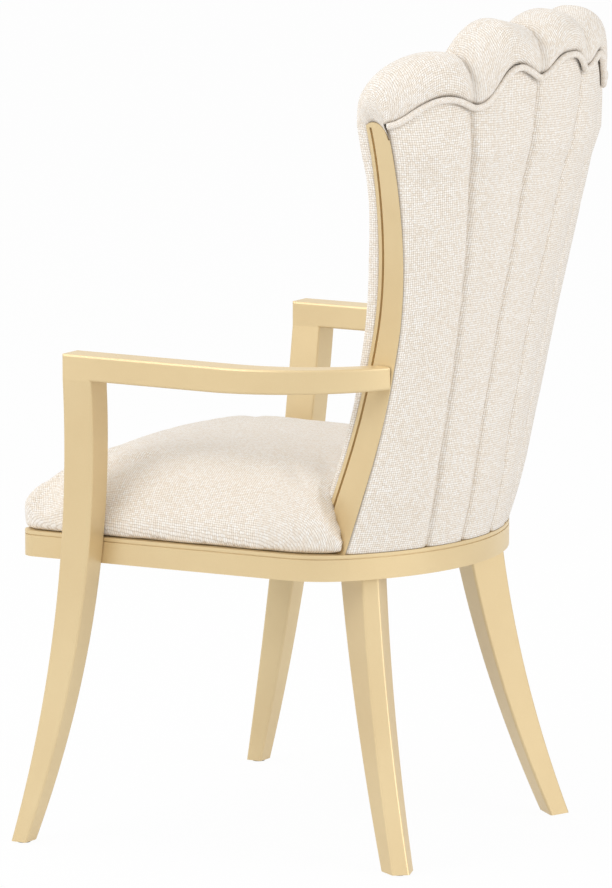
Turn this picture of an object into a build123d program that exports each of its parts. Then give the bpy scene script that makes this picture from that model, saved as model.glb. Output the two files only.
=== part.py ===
from build123d import *
from math import asin, atan2, cos, hypot, pi, radians, sin, sqrt, tan
import os

os.makedirs("parts", exist_ok=True)

# Dining armchair: upholstered barrel back and tight seat on a painted wood frame.
# Millimetres, +Z up, floor at Z = 0, the sitter faces -Y, the sitter's left is +X.

# Fits
joint_gap = 0.3
stile_gap = 0.6
pad_gap = 1.3
bore_clearance = 0.2

# Seat frame, a ring of four rails with a routed bead along its top edge
seat_frame_top = 408.0
rail_height = 34.0
rail_thickness = 28.0
frame_front_y = -332.0
frame_depth = 546.0
frame_front_half = 262.0
frame_rear_half = 239.5
rear_rail_radius = 310.0
front_corner_radius = 22.0
rear_corner_radius = 110.0
front_joint_y = -227.0
rear_joint_y = 40.0
bead_height = 4.5
quirk_height = 1.4
quirk_depth = 1.6

# Front leg and arm post in one piece
glide_thickness = 2.0
leg_centre_y = -226.0
leg_waist_width = 36.5
leg_waist_depth = 43.0
leg_rail_lap = 0.6
leg_foot_width = 28.0
leg_foot_depth = 23.0
leg_foot_out = 19.0
leg_foot_forward = 87.0
post_width = 40.5
post_depth = 44.0
post_out = 17.0
post_back = 17.0
leg_edge_radius = 3.0

# Arm
arm_top = 654.0
arm_height = 33.0
arm_straight_end_y = 0.0
arm_end_width = 25.0
arm_end_height = 30.0
arm_end_inset = 3.0
arm_rise = 2.0
arm_edge_radius = 3.0
arm_bend_stations = 4
arm_overrun = 14.0

# Rear leg, a keystone section set on the diagonal
rear_leg_turn = 40.0
rear_leg_share = 0.714
rear_leg_inset = 13.57
rear_foot_out = 51.0
rear_foot_back = 76.0
rear_leg_face = 22.0
rear_leg_length_top = 56.0
rear_leg_length_foot = 30.0
rear_leg_flare = 20.0
rear_leg_curve = 0.5

# Back stile, a curved post that leans back and flares, its face turned towards the front
stile_turn = 17.0
stile_thickness = 24.0
stile_front_thickness = 10.0
stile_bevel_run = 16.0
stile_foot_width = 56.0
stile_top_width = 38.5
stile_top = 972.0
stile_tip_front_drop = 6.0
stile_tip_rear_drop = 21.0
stile_tip_share = 0.62
stile_lip = 6.0
stile_quirk_width = 4.0
stile_quirk_depth = 5.0
stile_quirk_stop = 7.0

stile_foot_inset_x = 33.5
stile_foot_inset_y = 4.65

# Lines of the back: rise above the seat frame, stile's rear edge out and behind from its foot,
# and the back's centre line behind the frame's rearmost point
back_line = (
    (0.0, 0.0, 0.0, -2.0),
    (35.0, 0.3, 12.5, 6.0),
    (82.0, 0.5, 28.5, 14.5),
    (142.0, 0.0, 47.5, 25.0),
    (230.0, 0.0, 69.0, 41.5),
    (297.0, 4.0, 83.0, 54.0),
    (362.0, 14.0, 93.0, 69.0),
    (422.0, 26.0, 98.0, 82.0),
    (485.0, 38.0, 98.0, 93.0),
    (543.0, 48.0, 93.0, 101.0),
    (608.0, 55.0, 81.0, 108.0),
    (658.0, 56.5, 64.0, 112.0),
)

# Back layers, from the outside cover to the inside channels
outside_thickness = 8.0
outside_bulge = 9.0
outside_edge = 4.0
shell_thickness = 12.0
shell_rebate = 6.0
inside_thickness = 45.0
inside_bulge = 10.0
inside_lead = 10.0
seam_share_foot = (0.18, 0.50)
seam_share_top = (0.215, 0.64)

# Scalloped top edge: heights of the welt at the seams, from the centre to the stile
crest_z = 1016.0
scallop_drop = (0.0, 28.0, 66.0)
scallop_rise = 30.0
scallop_overhang = 4.0
welt_height = 9.0
welt_depth = 8.0

# Top roll, five lobes over the scalloped edge
roll_thickness = 70.0
roll_bulge = 13.0
roll_rise = (87.0, 81.0, 40.0)
roll_crease_rise = (74.0, 42.0)
roll_end_rise = -14.0
roll_shoulder = 0.58
roll_wrap = 14.0

# Seat upholstery
deck_thickness = 12.0
seat_crown = 111.0
seat_side_inset = 4.0
seat_front_bulge = 6.0
seat_corner_radius = 22.0
seat_shoulder_y = 62.0
seat_rear_inset = 22.0
seat_rear_y = 124.0
seat_back_gap = 6.0
seat_stile_gap = 3.0
seat_corner_swell = 4.0

# Hidden hardware
block_size = 46.0
rear_block_margin = 8.0
rear_screw_step = 22.0
leg_bolt_diameter = 6.0
leg_bolt_head_diameter = 12.0
leg_bolt_head_height = 4.0
leg_bolt_grip = 24.0
leg_bolt_pitch = 26.0
rear_bolt_diameter = 8.0
rear_bolt_depth = 45.0
dowel_diameter = 8.0
dowel_half_length = 13.0
stile_dowel_inset = 14.0
stile_dowel_depth = 8.0
arm_dowel_diameter = 6.0
arm_dowel_half_length = 10.0
deck_screw_diameter = 4.0
deck_screw_head_diameter = 8.0
deck_screw_length = 26.0
glide_diameter = 17.0
glide_pin_diameter = 4.0
glide_pin_length = 14.0
dust_cover_thickness = 1.0
dust_cover_inset = 8.0

# Values that follow from the sizes above
rail_bottom = seat_frame_top - rail_height
frame_rear_y = frame_front_y + frame_depth
arm_under = arm_top - arm_height
deck_bottom = seat_frame_top - deck_thickness
turn = radians(stile_turn)


def rear_rail_y(x):
    """Rear of the seat frame's bow at a distance from the centre line."""
    return frame_rear_y - rear_rail_radius + sqrt(rear_rail_radius**2 - x**2)


rear_corner_y = rear_rail_y(frame_rear_half)


def side_x(y):
    """Half width of the seat frame along its straight side."""
    along = (y - frame_front_y) / (rear_corner_y - frame_front_y)
    return frame_front_half + (frame_rear_half - frame_front_half) * along


leg_waist_x = side_x(leg_centre_y) - leg_rail_lap + leg_waist_width
leg_waist_rear_y = leg_centre_y + leg_waist_depth / 2
post_x = leg_waist_x + post_out
post_rear_y = leg_waist_rear_y + post_back
post_front_y = post_rear_y - post_depth
arm_centre_x = post_x - post_width / 2


# Seat frame rails

with BuildSketch() as frame_plan:
    with BuildLine():
        Polyline(
            (-frame_rear_half, rear_corner_y),
            (-frame_front_half, frame_front_y),
            (frame_front_half, frame_front_y),
            (frame_rear_half, rear_corner_y),
        )
        ThreePointArc(
            (frame_rear_half, rear_corner_y), (0, frame_rear_y), (-frame_rear_half, rear_corner_y)
        )
    make_face()
    fillet(frame_plan.vertices().group_by(Axis.Y)[0], front_corner_radius)
    rear_corners = frame_plan.vertices().filter_by_position(Axis.Y, rear_corner_y - 1, rear_corner_y + 1)
    fillet(rear_corners, rear_corner_radius)


def plan_inset(inset):
    """The seat frame's outline drawn in by an inset."""
    return offset(frame_plan.sketch, amount=-inset, kind=Kind.INTERSECTION, mode=Mode.PRIVATE)


plan_inner = plan_inset(rail_thickness)
plan_quirk = plan_inset(quirk_depth)
bead_bottom = seat_frame_top - bead_height
quirk_bottom = bead_bottom - quirk_height

with BuildPart() as rail_ring:
    with BuildSketch(Plane.XY.offset(rail_bottom)):
        add(frame_plan.sketch)
        add(plan_inner, mode=Mode.SUBTRACT)
    extrude(amount=quirk_bottom - rail_bottom)
    with BuildSketch(Plane.XY.offset(quirk_bottom)):
        add(plan_quirk)
        add(plan_inner, mode=Mode.SUBTRACT)
    extrude(amount=quirk_height)
    with BuildSketch(Plane.XY.offset(bead_bottom)):
        add(frame_plan.sketch)
        add(plan_inner, mode=Mode.SUBTRACT)
    extrude(amount=bead_height)

front_joint = Plane(origin=(0, front_joint_y, 0), x_dir=(1, 0, 0), z_dir=(0, 1, 0))
rear_joint = Plane(origin=(0, rear_joint_y, 0), x_dir=(1, 0, 0), z_dir=(0, 1, 0))
leg_bolt_z = (rail_bottom + deck_bottom) / 2
leg_bolt_y = [front_joint_y - leg_bolt_pitch / 2, front_joint_y + leg_bolt_pitch / 2]


def leg_bolt_plane(y, side):
    """Looks outwards along the bolt, from just inside the rail's inner face."""
    start = side_x(y) - rail_thickness - 2 * joint_gap
    return Plane(origin=(side * start, y, leg_bolt_z), x_dir=(0, 1, 0), z_dir=(side, 0, 0))


def bore(plane, diameter, length):
    """A drilled hole along a plane's normal, cut from the part being built."""
    with BuildSketch(plane) as ring:
        Circle(diameter / 2 + bore_clearance)
    extrude(ring.sketch, amount=length, mode=Mode.SUBTRACT)


leg_bolt_length = rail_thickness + leg_bolt_grip

with BuildPart() as front_rail:
    add(rail_ring.part)
    split(bisect_by=front_joint, keep=Keep.BOTTOM)
    for side in (1, -1):
        bore(leg_bolt_plane(leg_bolt_y[0], side), leg_bolt_diameter, leg_bolt_length)
front_rail.part.label = "front_rail"
export_step(front_rail.part, "parts/front_rail.step")

with BuildPart() as side_rail_left:
    add(rail_ring.part)
    split(bisect_by=front_joint, keep=Keep.TOP)
    split(bisect_by=rear_joint, keep=Keep.BOTTOM)
    split(bisect_by=Plane.YZ, keep=Keep.TOP)
    bore(leg_bolt_plane(leg_bolt_y[1], 1), leg_bolt_diameter, leg_bolt_length)
side_rail_left.part.label = "side_rail_left"
export_step(side_rail_left.part, "parts/side_rail_left.step")

with BuildPart() as side_rail_right:
    mirror(side_rail_left.part, about=Plane.YZ)
side_rail_right.part.label = "side_rail_right"
export_step(side_rail_right.part, "parts/side_rail_right.step")


# Lines of the back: where the stile runs, and the curves that its layers follow

stile_foot_x = frame_rear_half - stile_foot_inset_x
stile_foot_y = rear_rail_y(stile_foot_x) - stile_foot_inset_y


def back_at(z):
    """Stile's half width and rear, and the centre line's rear, between two stations of the back."""
    rise = z - seat_frame_top
    for low, high in zip(back_line, back_line[1:]):
        if rise <= high[0]:
            break
    share = (rise - low[0]) / (high[0] - low[0])
    out, rear, centre = [a + (b - a) * share for a, b in zip(low[1:], high[1:])]
    return stile_foot_x + out, stile_foot_y + rear, frame_rear_y + centre


def stile_width(z):
    """The stile's face tapers from foot to top."""
    share = (z - seat_frame_top) / (stile_top - seat_frame_top)
    return stile_foot_width + (stile_top_width - stile_foot_width) * share


def by_stile(z, reach, depth=0.0):
    """Plan point at a reach behind the stile's rear edge and a depth in from its outer face."""
    x, y, centre = back_at(z)
    return (x + reach * sin(turn) - depth * cos(turn), y + reach * cos(turn) + depth * sin(turn))


def apex_y(z):
    """Rear of the outside back's seams on the centre line."""
    return back_at(z)[2]


def seam_x(z, index):
    """Distance of a channel seam from the centre line: the channels fan upwards."""
    rise = (z - seat_frame_top) / (crest_z - seat_frame_top)
    share = seam_share_foot[index] + (seam_share_top[index] - seam_share_foot[index]) * rise
    return back_at(z)[0] * share


def arc_radius(end, apex):
    """Radius of the arc through an end point, its mirror image and an apex on the centre line."""
    drop = apex - end[1]
    return (end[0] ** 2 + drop**2) / (2 * drop)


def arc_point(x, end, apex, out=0.0):
    """Point on that arc at a distance from the centre line, moved out along its radius."""
    radius = arc_radius(end, apex)
    angle = asin(x / radius)
    return ((radius + out) * sin(angle), apex - radius + (radius + out) * cos(angle))


def mirrored(point):
    return (-point[0], point[1])


def channel_line(end, apex, seams, bulge):
    """Five arcs from one end to its mirror image, bulging between the seams."""
    marks = [end[0], seams[1], seams[0]]
    marks = marks + [-mark for mark in reversed(marks)]
    for start, stop in zip(marks, marks[1:]):
        ThreePointArc(
            arc_point(start, end, apex),
            arc_point((start + stop) / 2, end, apex, bulge),
            arc_point(stop, end, apex),
        )


shell_apex = outside_thickness
pad_apex = shell_apex + shell_thickness + joint_gap
back_levels = [seat_frame_top + station[0] for station in back_line]
base_blend = 60.0


def base_share(z):
    """Padding grows from the tuck at the rail to its full depth."""
    return min(1.0, 0.25 + 0.75 * (z - seat_frame_top) / base_blend)


# Scalloped edge seen from the front, shared by every layer of the back

scallop_half = back_at(crest_z)[0] + 40.0
scallop_reach = back_at(stile_top)[0] + scallop_overhang


def scallop_region(raised):
    """All that lies under the scalloped edge, raised by an amount."""
    ends = [seam_x(crest_z, 0), seam_x(crest_z, 1), scallop_reach]
    marks = [-x for x in reversed(ends)] + ends
    drops = list(reversed(scallop_drop)) + list(scallop_drop)
    points = [(x, crest_z - drop + raised) for x, drop in zip(marks, drops)]
    with BuildSketch(Plane.XZ) as region:
        with BuildLine():
            for start, stop in zip(points, points[1:]):
                middle = ((start[0] + stop[0]) / 2, (start[1] + stop[1]) / 2)
                run = (stop[0] - start[0], stop[1] - start[1])
                lift = scallop_rise / hypot(*run)
                ThreePointArc(start, (middle[0] - run[1] * lift, middle[1] + run[0] * lift), stop)
            Polyline(
                points[-1],
                (scallop_half, points[-1][1]),
                (scallop_half, seat_frame_top),
                (-scallop_half, seat_frame_top),
                (-scallop_half, points[0][1]),
                points[0],
            )
        make_face()
    return region.sketch


def scallop_block(raised):
    """That region as a block right through the back."""
    return extrude(scallop_region(raised), amount=2 * frame_depth, both=True, mode=Mode.PRIVATE)


under_welt = scallop_block(-welt_height / 2 - joint_gap)
over_welt = scallop_block(welt_height / 2)
under_roll = scallop_block(welt_height / 2 + joint_gap)


# Back stiles

stile_levels = [z for z in back_levels if z < stile_top - stile_tip_front_drop] + [stile_top]
quirk_levels = stile_levels[:-1] + [stile_top - stile_quirk_stop]
face_out = (cos(turn), -sin(turn), 0)
face_back = (sin(turn), cos(turn), 0)
arm_joint_z = arm_top + arm_rise - arm_end_height / 2
arm_joint_xy = by_stile(arm_joint_z, -arm_end_inset - arm_end_width / 2)
arm_dowel_place = Plane(origin=(*arm_joint_xy, arm_joint_z), x_dir=face_back, z_dir=face_out)
stile_dowel_xy = by_stile(seat_frame_top, -stile_dowel_inset, stile_dowel_depth)


def dowel_place(side):
    """On the seat frame's top, under the stile's foot."""
    return Plane(origin=(side * stile_dowel_xy[0], stile_dowel_xy[1], seat_frame_top))


def stile_bevel(z, grow):
    """Both ends of the bevel on the stile's hidden front corner, grown by an amount."""
    front = -stile_width(z)
    near = by_stile(z, front - grow, stile_front_thickness + grow / 2)
    return near, by_stile(z, front + stile_bevel_run - grow / 2, stile_thickness + grow)


def stile_section(z, grow):
    """The stile's section at a height, grown all round by an amount."""
    front = -stile_width(z) - grow
    with BuildSketch(Plane.XY.offset(z)) as section:
        with BuildLine():
            Polyline(
                by_stile(z, grow, -grow),
                by_stile(z, front, -grow),
                *stile_bevel(z, grow),
                by_stile(z, grow, stile_thickness + grow),
                close=True,
            )
        make_face()
    return section.sketch


def quirk_section(z):
    """The routed line behind the lip along the stile's front edge."""
    front = stile_lip - stile_width(z)
    with BuildSketch(Plane.XY.offset(z)) as section:
        with BuildLine():
            Polyline(
                by_stile(z, front, -stile_gap),
                by_stile(z, front + stile_quirk_width, -stile_gap),
                by_stile(z, front + stile_quirk_width, stile_quirk_depth),
                by_stile(z, front, stile_quirk_depth),
                close=True,
            )
        make_face()
    return section.sketch


def bore_both_ways(plane, diameter, half_length):
    """A dowel's hole, reaching to both sides of a joint."""
    with BuildSketch(plane) as ring:
        Circle(diameter / 2 + bore_clearance)
    extrude(ring.sketch, amount=half_length + joint_gap, both=True, mode=Mode.SUBTRACT)


with BuildPart() as back_stile_left:
    loft([stile_section(z, 0) for z in stile_levels])
    with BuildSketch(Plane(origin=(*by_stile(stile_top, 0), 0), x_dir=face_back, z_dir=face_out)):
        with BuildLine():
            front = (-stile_top_width, stile_top - stile_tip_front_drop)
            tip = (-stile_top_width * stile_tip_share, stile_top)
            rear = (0, stile_top - stile_tip_rear_drop)
            ahead = -2 * stile_top_width
            behind = stile_top_width
            above = stile_top + stile_top_width
            ThreePointArc(front, tip, rear)
            Polyline(rear, (behind, rear[1]), (behind, above), (ahead, above), (ahead, front[1]), front)
        make_face()
    extrude(amount=2 * stile_thickness, both=True, mode=Mode.SUBTRACT)
    loft([quirk_section(z) for z in quirk_levels], mode=Mode.SUBTRACT)
    bore_both_ways(arm_dowel_place, arm_dowel_diameter, arm_dowel_half_length)
    bore_both_ways(dowel_place(1), dowel_diameter, dowel_half_length)
back_stile_left.part.label = "back_stile_left"
export_step(back_stile_left.part, "parts/back_stile_left.step")

with BuildPart() as back_stile_right:
    mirror(back_stile_left.part, about=Plane.YZ)
back_stile_right.part.label = "back_stile_right"
export_step(back_stile_right.part, "parts/back_stile_right.step")

with BuildPart() as rear_rail:
    add(rail_ring.part)
    split(bisect_by=rear_joint, keep=Keep.TOP)
    for side in (1, -1):
        bore_both_ways(dowel_place(side), dowel_diameter, dowel_half_length)
rear_rail.part.label = "rear_rail"
export_step(rear_rail.part, "parts/rear_rail.step")


# Front legs, lofted from the foot through the waist at the rail to the arm post

mitre_plane = Plane(
    origin=(arm_centre_x, (post_front_y + post_rear_y) / 2, (arm_top + arm_under) / 2),
    x_dir=(1, 0, 0),
    z_dir=(0, arm_height, post_depth),
)
leg_foot_x = leg_waist_x + leg_foot_out
leg_foot_rear_y = leg_waist_rear_y - leg_foot_forward
leg_stations = [
    (glide_thickness, leg_foot_x, leg_foot_rear_y, leg_foot_width, leg_foot_depth),
    (leg_bolt_z, leg_waist_x, leg_waist_rear_y, leg_waist_width, leg_waist_depth),
    (arm_under, post_x, post_rear_y, post_width, post_depth),
]
front_glide_xy = (leg_foot_x - leg_foot_width / 2, leg_foot_rear_y - leg_foot_depth / 2)


def glide_plane(xy, side):
    """Level with the underside of a foot."""
    return Plane.XY.offset(glide_thickness).shift_origin((side * xy[0], xy[1], glide_thickness))


with BuildPart() as front_leg_left:
    for z, outer_x, rear_y, width, depth in leg_stations:
        with BuildSketch(Plane.XY.offset(z)):
            with Locations((outer_x - width / 2, rear_y - depth / 2)):
                RectangleRounded(width, depth, leg_edge_radius)
    loft()
    extrude(front_leg_left.faces().sort_by(Axis.Z)[-1], amount=arm_height)
    split(bisect_by=mitre_plane, keep=Keep.BOTTOM)
    with BuildSketch(Plane.XY.offset(rail_bottom)):
        add(frame_plan.sketch)
    extrude(amount=rail_height, mode=Mode.SUBTRACT)
    for y in leg_bolt_y:
        bore(leg_bolt_plane(y, 1), leg_bolt_diameter, leg_bolt_length + 2 * joint_gap)
    bore_both_ways(mitre_plane, dowel_diameter, dowel_half_length)
    bore(glide_plane(front_glide_xy, 1), glide_pin_diameter, glide_pin_length + joint_gap)
front_leg_left.part.label = "front_leg_left"
export_step(front_leg_left.part, "parts/front_leg_left.step")

with BuildPart() as front_leg_right:
    mirror(front_leg_left.part, about=Plane.YZ)
front_leg_right.part.label = "front_leg_right"
export_step(front_leg_right.part, "parts/front_leg_right.step")


# Arms: straight from the mitre, then bent inwards to the stile

bend_in = arm_centre_x - arm_joint_xy[0]
bend_run = arm_joint_xy[1] - arm_straight_end_y
bend_radius = (bend_in**2 + bend_run**2) / (2 * bend_in)
bend_angle = asin(bend_run / bend_radius)


def arm_station(share):
    """Plane, width and height of the arm at a share of its bend."""
    angle = bend_angle * share
    x = arm_centre_x - bend_radius * (1 - cos(angle))
    y = arm_straight_end_y + bend_radius * sin(angle)
    height = arm_height + (arm_end_height - arm_height) * share
    middle = arm_top + arm_rise * share**2 - height / 2
    heading = (-sin(angle), cos(angle), 0)
    plane = Plane(origin=(x, y, middle), x_dir=(cos(angle), sin(angle), 0), z_dir=heading)
    return plane, post_width + (arm_end_width - post_width) * share, height


arm_stations = [arm_station(index / arm_bend_stations) for index in range(arm_bend_stations + 1)]
arm_stations.append(arm_station(1 + arm_overrun / (bend_radius * bend_angle)))

with BuildPart() as arm_left:
    for plane, width, height in arm_stations:
        with BuildSketch(plane):
            RectangleRounded(width, height, arm_edge_radius)
    loft()
    with BuildSketch(arm_stations[0][0]):
        RectangleRounded(post_width, arm_height, arm_edge_radius)
    extrude(amount=post_front_y - arm_straight_end_y)
    split(bisect_by=mitre_plane, keep=Keep.TOP)
    split(bisect_by=arm_dowel_place.offset(stile_gap), keep=Keep.TOP)
    bore_both_ways(mitre_plane, dowel_diameter, dowel_half_length)
    bore_both_ways(arm_dowel_place, arm_dowel_diameter, arm_dowel_half_length)
arm_left.part.label = "arm_left"
export_step(arm_left.part, "parts/arm_left.step")

with BuildPart() as arm_right:
    mirror(arm_left.part, about=Plane.YZ)
arm_right.part.label = "arm_right"
export_step(arm_right.part, "parts/arm_right.step")


# Rear legs, sabre curved, set under the frame's rear corners

rear_leg_x = frame_rear_half * rear_leg_share
rear_top_xy = (rear_leg_x, rear_rail_y(rear_leg_x) - rear_leg_inset)
leg_turn = radians(rear_leg_turn)
rear_leg_height = rail_bottom - glide_thickness


def rear_leg_station(drop):
    """Plane on the outer face's centre, and the section's length, at a share of the way down."""
    swing = rear_leg_curve * drop + (1 - rear_leg_curve) * drop**2
    x = rear_top_xy[0] + rear_foot_out * swing
    y = rear_top_xy[1] + rear_foot_back * swing
    z = rail_bottom - rear_leg_height * drop
    plane = Plane(origin=(x, y, z), x_dir=(cos(leg_turn), sin(leg_turn), 0), z_dir=(0, 0, 1))
    return plane, rear_leg_length_top + (rear_leg_length_foot - rear_leg_length_top) * drop


def rear_leg_middle(drop):
    plane, length = rear_leg_station(drop)
    return plane.from_local_coords((-length / 2, 0, 0))


rear_bolt_xy = (rear_leg_middle(0).X, rear_leg_middle(0).Y)
rear_glide_xy = (rear_leg_middle(1).X, rear_leg_middle(1).Y)


def rear_bolt_plane(side):
    return Plane.XY.offset(deck_bottom).shift_origin((side * rear_bolt_xy[0], rear_bolt_xy[1], deck_bottom))


with BuildPart() as rear_leg_left:
    for drop in (0, 0.35, 0.7, 1):
        plane, length = rear_leg_station(drop)
        inner_half = rear_leg_face / 2 + length * tan(radians(rear_leg_flare))
        with BuildSketch(plane) as rear_leg_section:
            with BuildLine():
                Polyline(
                    (0, -rear_leg_face / 2),
                    (0, rear_leg_face / 2),
                    (-length, inner_half),
                    (-length, -inner_half),
                    close=True,
                )
            make_face()
            fillet(rear_leg_section.vertices(), leg_edge_radius)
    loft()
    bore(rear_bolt_plane(1), rear_bolt_diameter, -rear_bolt_depth - joint_gap)
    bore(glide_plane(rear_glide_xy, 1), glide_pin_diameter, glide_pin_length + joint_gap)
rear_leg_left.part.label = "rear_leg_left"
export_step(rear_leg_left.part, "parts/rear_leg_left.step")

with BuildPart() as rear_leg_right:
    mirror(rear_leg_left.part, about=Plane.YZ)
rear_leg_right.part.label = "rear_leg_right"
export_step(rear_leg_right.part, "parts/rear_leg_right.step")


# Corner blocks between the rails, under the deck

frame_span = rail_ring.part.bounding_box().size.X


def half_plane(point, direction):
    """The part of the plan that lies beyond a point in a direction, given in radians."""
    plane = Plane(origin=point, x_dir=(cos(direction), sin(direction), 0), z_dir=(0, 0, 1))
    with BuildSketch(plane) as beyond:
        Rectangle(frame_span, 2 * frame_span, align=(Align.MIN, Align.CENTER))
    return beyond.sketch


deck_plan = plan_inset(rail_thickness + joint_gap)
front_corner = (side_x(frame_front_y) - rail_thickness, frame_front_y + rail_thickness)
front_cut = (front_corner[0] - block_size, front_corner[1])
rear_reach = rear_leg_length_top + rear_block_margin
rear_cut = (rear_top_xy[0] - rear_reach * cos(leg_turn), rear_top_xy[1] - rear_reach * sin(leg_turn))
rear_cut_angles = {1: leg_turn, -1: pi - leg_turn}
front_screw_xy = (front_corner[0] - block_size * 0.32, front_corner[1] + block_size * 0.32)
rear_screw_xy = (rear_bolt_xy[0] + rear_screw_step, rear_bolt_xy[1] - rear_screw_step)
deck_screw_xy = [front_screw_xy, rear_screw_xy]


def deck_screw_plane(xy, side):
    return Plane.XY.offset(seat_frame_top).shift_origin((side * xy[0], xy[1], seat_frame_top))


with BuildPart() as corner_blocks:
    for point, direction in ((front_cut, radians(-45)), (rear_cut, leg_turn)):
        with BuildSketch(Plane.XY.offset(rail_bottom)):
            add(plan_inner)
            add(half_plane(point, direction), mode=Mode.INTERSECT)
        extrude(amount=deck_bottom - rail_bottom)
    bore(rear_bolt_plane(1), rear_bolt_diameter, rail_bottom - deck_bottom)
    for xy in deck_screw_xy:
        bore(deck_screw_plane(xy, 1), deck_screw_diameter, -deck_screw_length - joint_gap)
    mirror(about=Plane.YZ)
corner_blocks.part.label = "corner_blocks"
export_step(corner_blocks.part, "parts/corner_blocks.step")

with BuildPart() as seat_deck:
    with BuildSketch(Plane.XY.offset(deck_bottom)):
        add(deck_plan)
    extrude(amount=deck_thickness)
    for side in (1, -1):
        for xy in deck_screw_xy:
            with Locations(deck_screw_plane(xy, side)):
                CounterSinkHole(
                    deck_screw_diameter / 2 + bore_clearance,
                    deck_screw_head_diameter / 2 + bore_clearance,
                )
seat_deck.part.label = "seat_deck"
export_step(seat_deck.part, "parts/seat_deck.step")

with BuildPart() as dust_cover:
    with BuildSketch(Plane.XY.offset(rail_bottom - dust_cover_thickness)):
        add(plan_inset(dust_cover_inset))
        for side in (1, -1):
            add(half_plane((side * rear_cut[0], rear_cut[1]), rear_cut_angles[side]), mode=Mode.SUBTRACT)
    extrude(amount=dust_cover_thickness)
dust_cover.part.label = "dust_cover"
export_step(dust_cover.part, "parts/dust_cover.step")


# Back shell, bent plywood between the stiles

shell_depth = stile_thickness + stile_gap

with BuildPart() as back_shell:
    for z in back_levels:
        outer_end = by_stile(z, -shell_rebate, shell_depth)
        inner_end = by_stile(z, -shell_rebate - shell_thickness, shell_depth)
        with BuildSketch(Plane.XY.offset(z)):
            with BuildLine():
                ThreePointArc(outer_end, (0, apex_y(z) - shell_apex), mirrored(outer_end))
                Line(mirrored(outer_end), mirrored(inner_end))
                ThreePointArc(mirrored(inner_end), (0, apex_y(z) - shell_apex - shell_thickness), inner_end)
                Line(inner_end, outer_end)
            make_face()
    loft()
    add(over_welt, mode=Mode.INTERSECT)
back_shell.part.label = "back_shell"
export_step(back_shell.part, "parts/back_shell.step")


# Outside back, five padded channels behind the shell

with BuildPart() as outside_back:
    for z in back_levels:
        edge = by_stile(z, stile_gap)
        rim = by_stile(z, stile_gap + outside_edge)
        corner = by_stile(z, stile_gap, shell_depth)
        inner = by_stile(z, joint_gap - shell_rebate, shell_depth)
        seams = [seam_x(z, 0), seam_x(z, 1)]
        with BuildSketch(Plane.XY.offset(z)):
            with BuildLine():
                channel_line(rim, apex_y(z), seams, outside_bulge * base_share(z))
                Polyline(mirrored(rim), mirrored(edge), mirrored(corner), mirrored(inner))
                ThreePointArc(mirrored(inner), (0, apex_y(z) - shell_apex + joint_gap), inner)
                Polyline(inner, corner, edge, rim)
            make_face()
    loft()
    add(under_welt, mode=Mode.INTERSECT)
outside_back.part.label = "outside_back"
export_step(outside_back.part, "parts/outside_back.step")


# Inside back, five deeper channels in front of the shell and the stiles

def inside_front(z):
    """End and apex of the seam line on the inside back's front face."""
    end = by_stile(z, -stile_width(z) - inside_lead)
    return end, apex_y(z) - pad_apex - inside_thickness


def inside_seams(z):
    end, apex = inside_front(z)
    narrowing = end[0] / back_at(z)[0]
    return [seam_x(z, 0) * narrowing, seam_x(z, 1) * narrowing]


with BuildPart() as inside_back:
    for z in back_levels:
        end, apex = inside_front(z)
        outer = by_stile(z, -stile_width(z) - pad_gap)
        near, far = stile_bevel(z, pad_gap)
        inner = by_stile(z, -shell_rebate - shell_thickness - joint_gap, shell_depth)
        side_line = [end, outer, near, far, inner]
        with BuildSketch(Plane.XY.offset(z)):
            with BuildLine():
                channel_line(end, apex, inside_seams(z), -inside_bulge * base_share(z))
                Polyline([mirrored(point) for point in side_line])
                ThreePointArc(mirrored(inner), (0, apex_y(z) - pad_apex), inner)
                Polyline(side_line[::-1])
            make_face()
    loft()
    add(over_welt, mode=Mode.INTERSECT)
inside_back.part.label = "inside_back"
export_step(inside_back.part, "parts/inside_back.step")


# Welt, a covered cord along the scalloped edge

with BuildPart() as welt:
    for z in back_levels[-4:]:
        edge = by_stile(z, stile_gap)
        rim = by_stile(z, stile_gap + welt_depth)
        with BuildSketch(Plane.XY.offset(z)):
            with BuildLine():
                ThreePointArc(rim, (0, apex_y(z) + welt_depth), mirrored(rim))
                Line(mirrored(rim), mirrored(edge))
                ThreePointArc(mirrored(edge), (0, apex_y(z) - shell_apex + joint_gap), edge)
                Line(edge, rim)
            make_face()
    loft()
    add(over_welt, mode=Mode.INTERSECT)
    add(scallop_block(-welt_height / 2), mode=Mode.SUBTRACT)
welt.part.label = "welt"
export_step(welt.part, "parts/welt.step")


# Top roll: five lobes, each lofted between two creases

roll_mark = by_stile(crest_z, 0)
roll_radius = arc_radius(roll_mark, apex_y(crest_z))
roll_centre = (0, apex_y(crest_z) - roll_radius)
roll_angles = [asin(seam_x(crest_z, 0) / roll_radius), asin(seam_x(crest_z, 1) / roll_radius)]
roll_angles.append(atan2(roll_mark[0], roll_mark[1] - roll_centre[1]) + roll_wrap / roll_radius)
roll_base = crest_z - scallop_drop[-1] - 20.0


def roll_section(angle, top, swell):
    """Section of the roll on a radial plane; swell runs from 0 at a crease to 1 at mid lobe."""
    plane = Plane(
        origin=(0, roll_centre[1], 0), x_dir=(sin(angle), cos(angle), 0), z_dir=(cos(angle), -sin(angle), 0)
    )
    outer = roll_radius
    inner = roll_radius - roll_thickness
    bulge = roll_bulge * swell
    shoulder = roll_base + (top - roll_base) * roll_shoulder
    with BuildSketch(plane) as section:
        with BuildLine():
            base_outer = (outer, roll_base)
            base_inner = (inner, roll_base)
            side_outer = (outer + bulge, shoulder)
            side_inner = (inner - bulge * 0.5, shoulder)
            Line(base_inner, base_outer)
            Line(base_outer, side_outer)
            ThreePointArc(side_outer, ((outer + inner) / 2, top), side_inner)
            Line(side_inner, base_inner)
        make_face()
    return section.sketch


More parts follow.
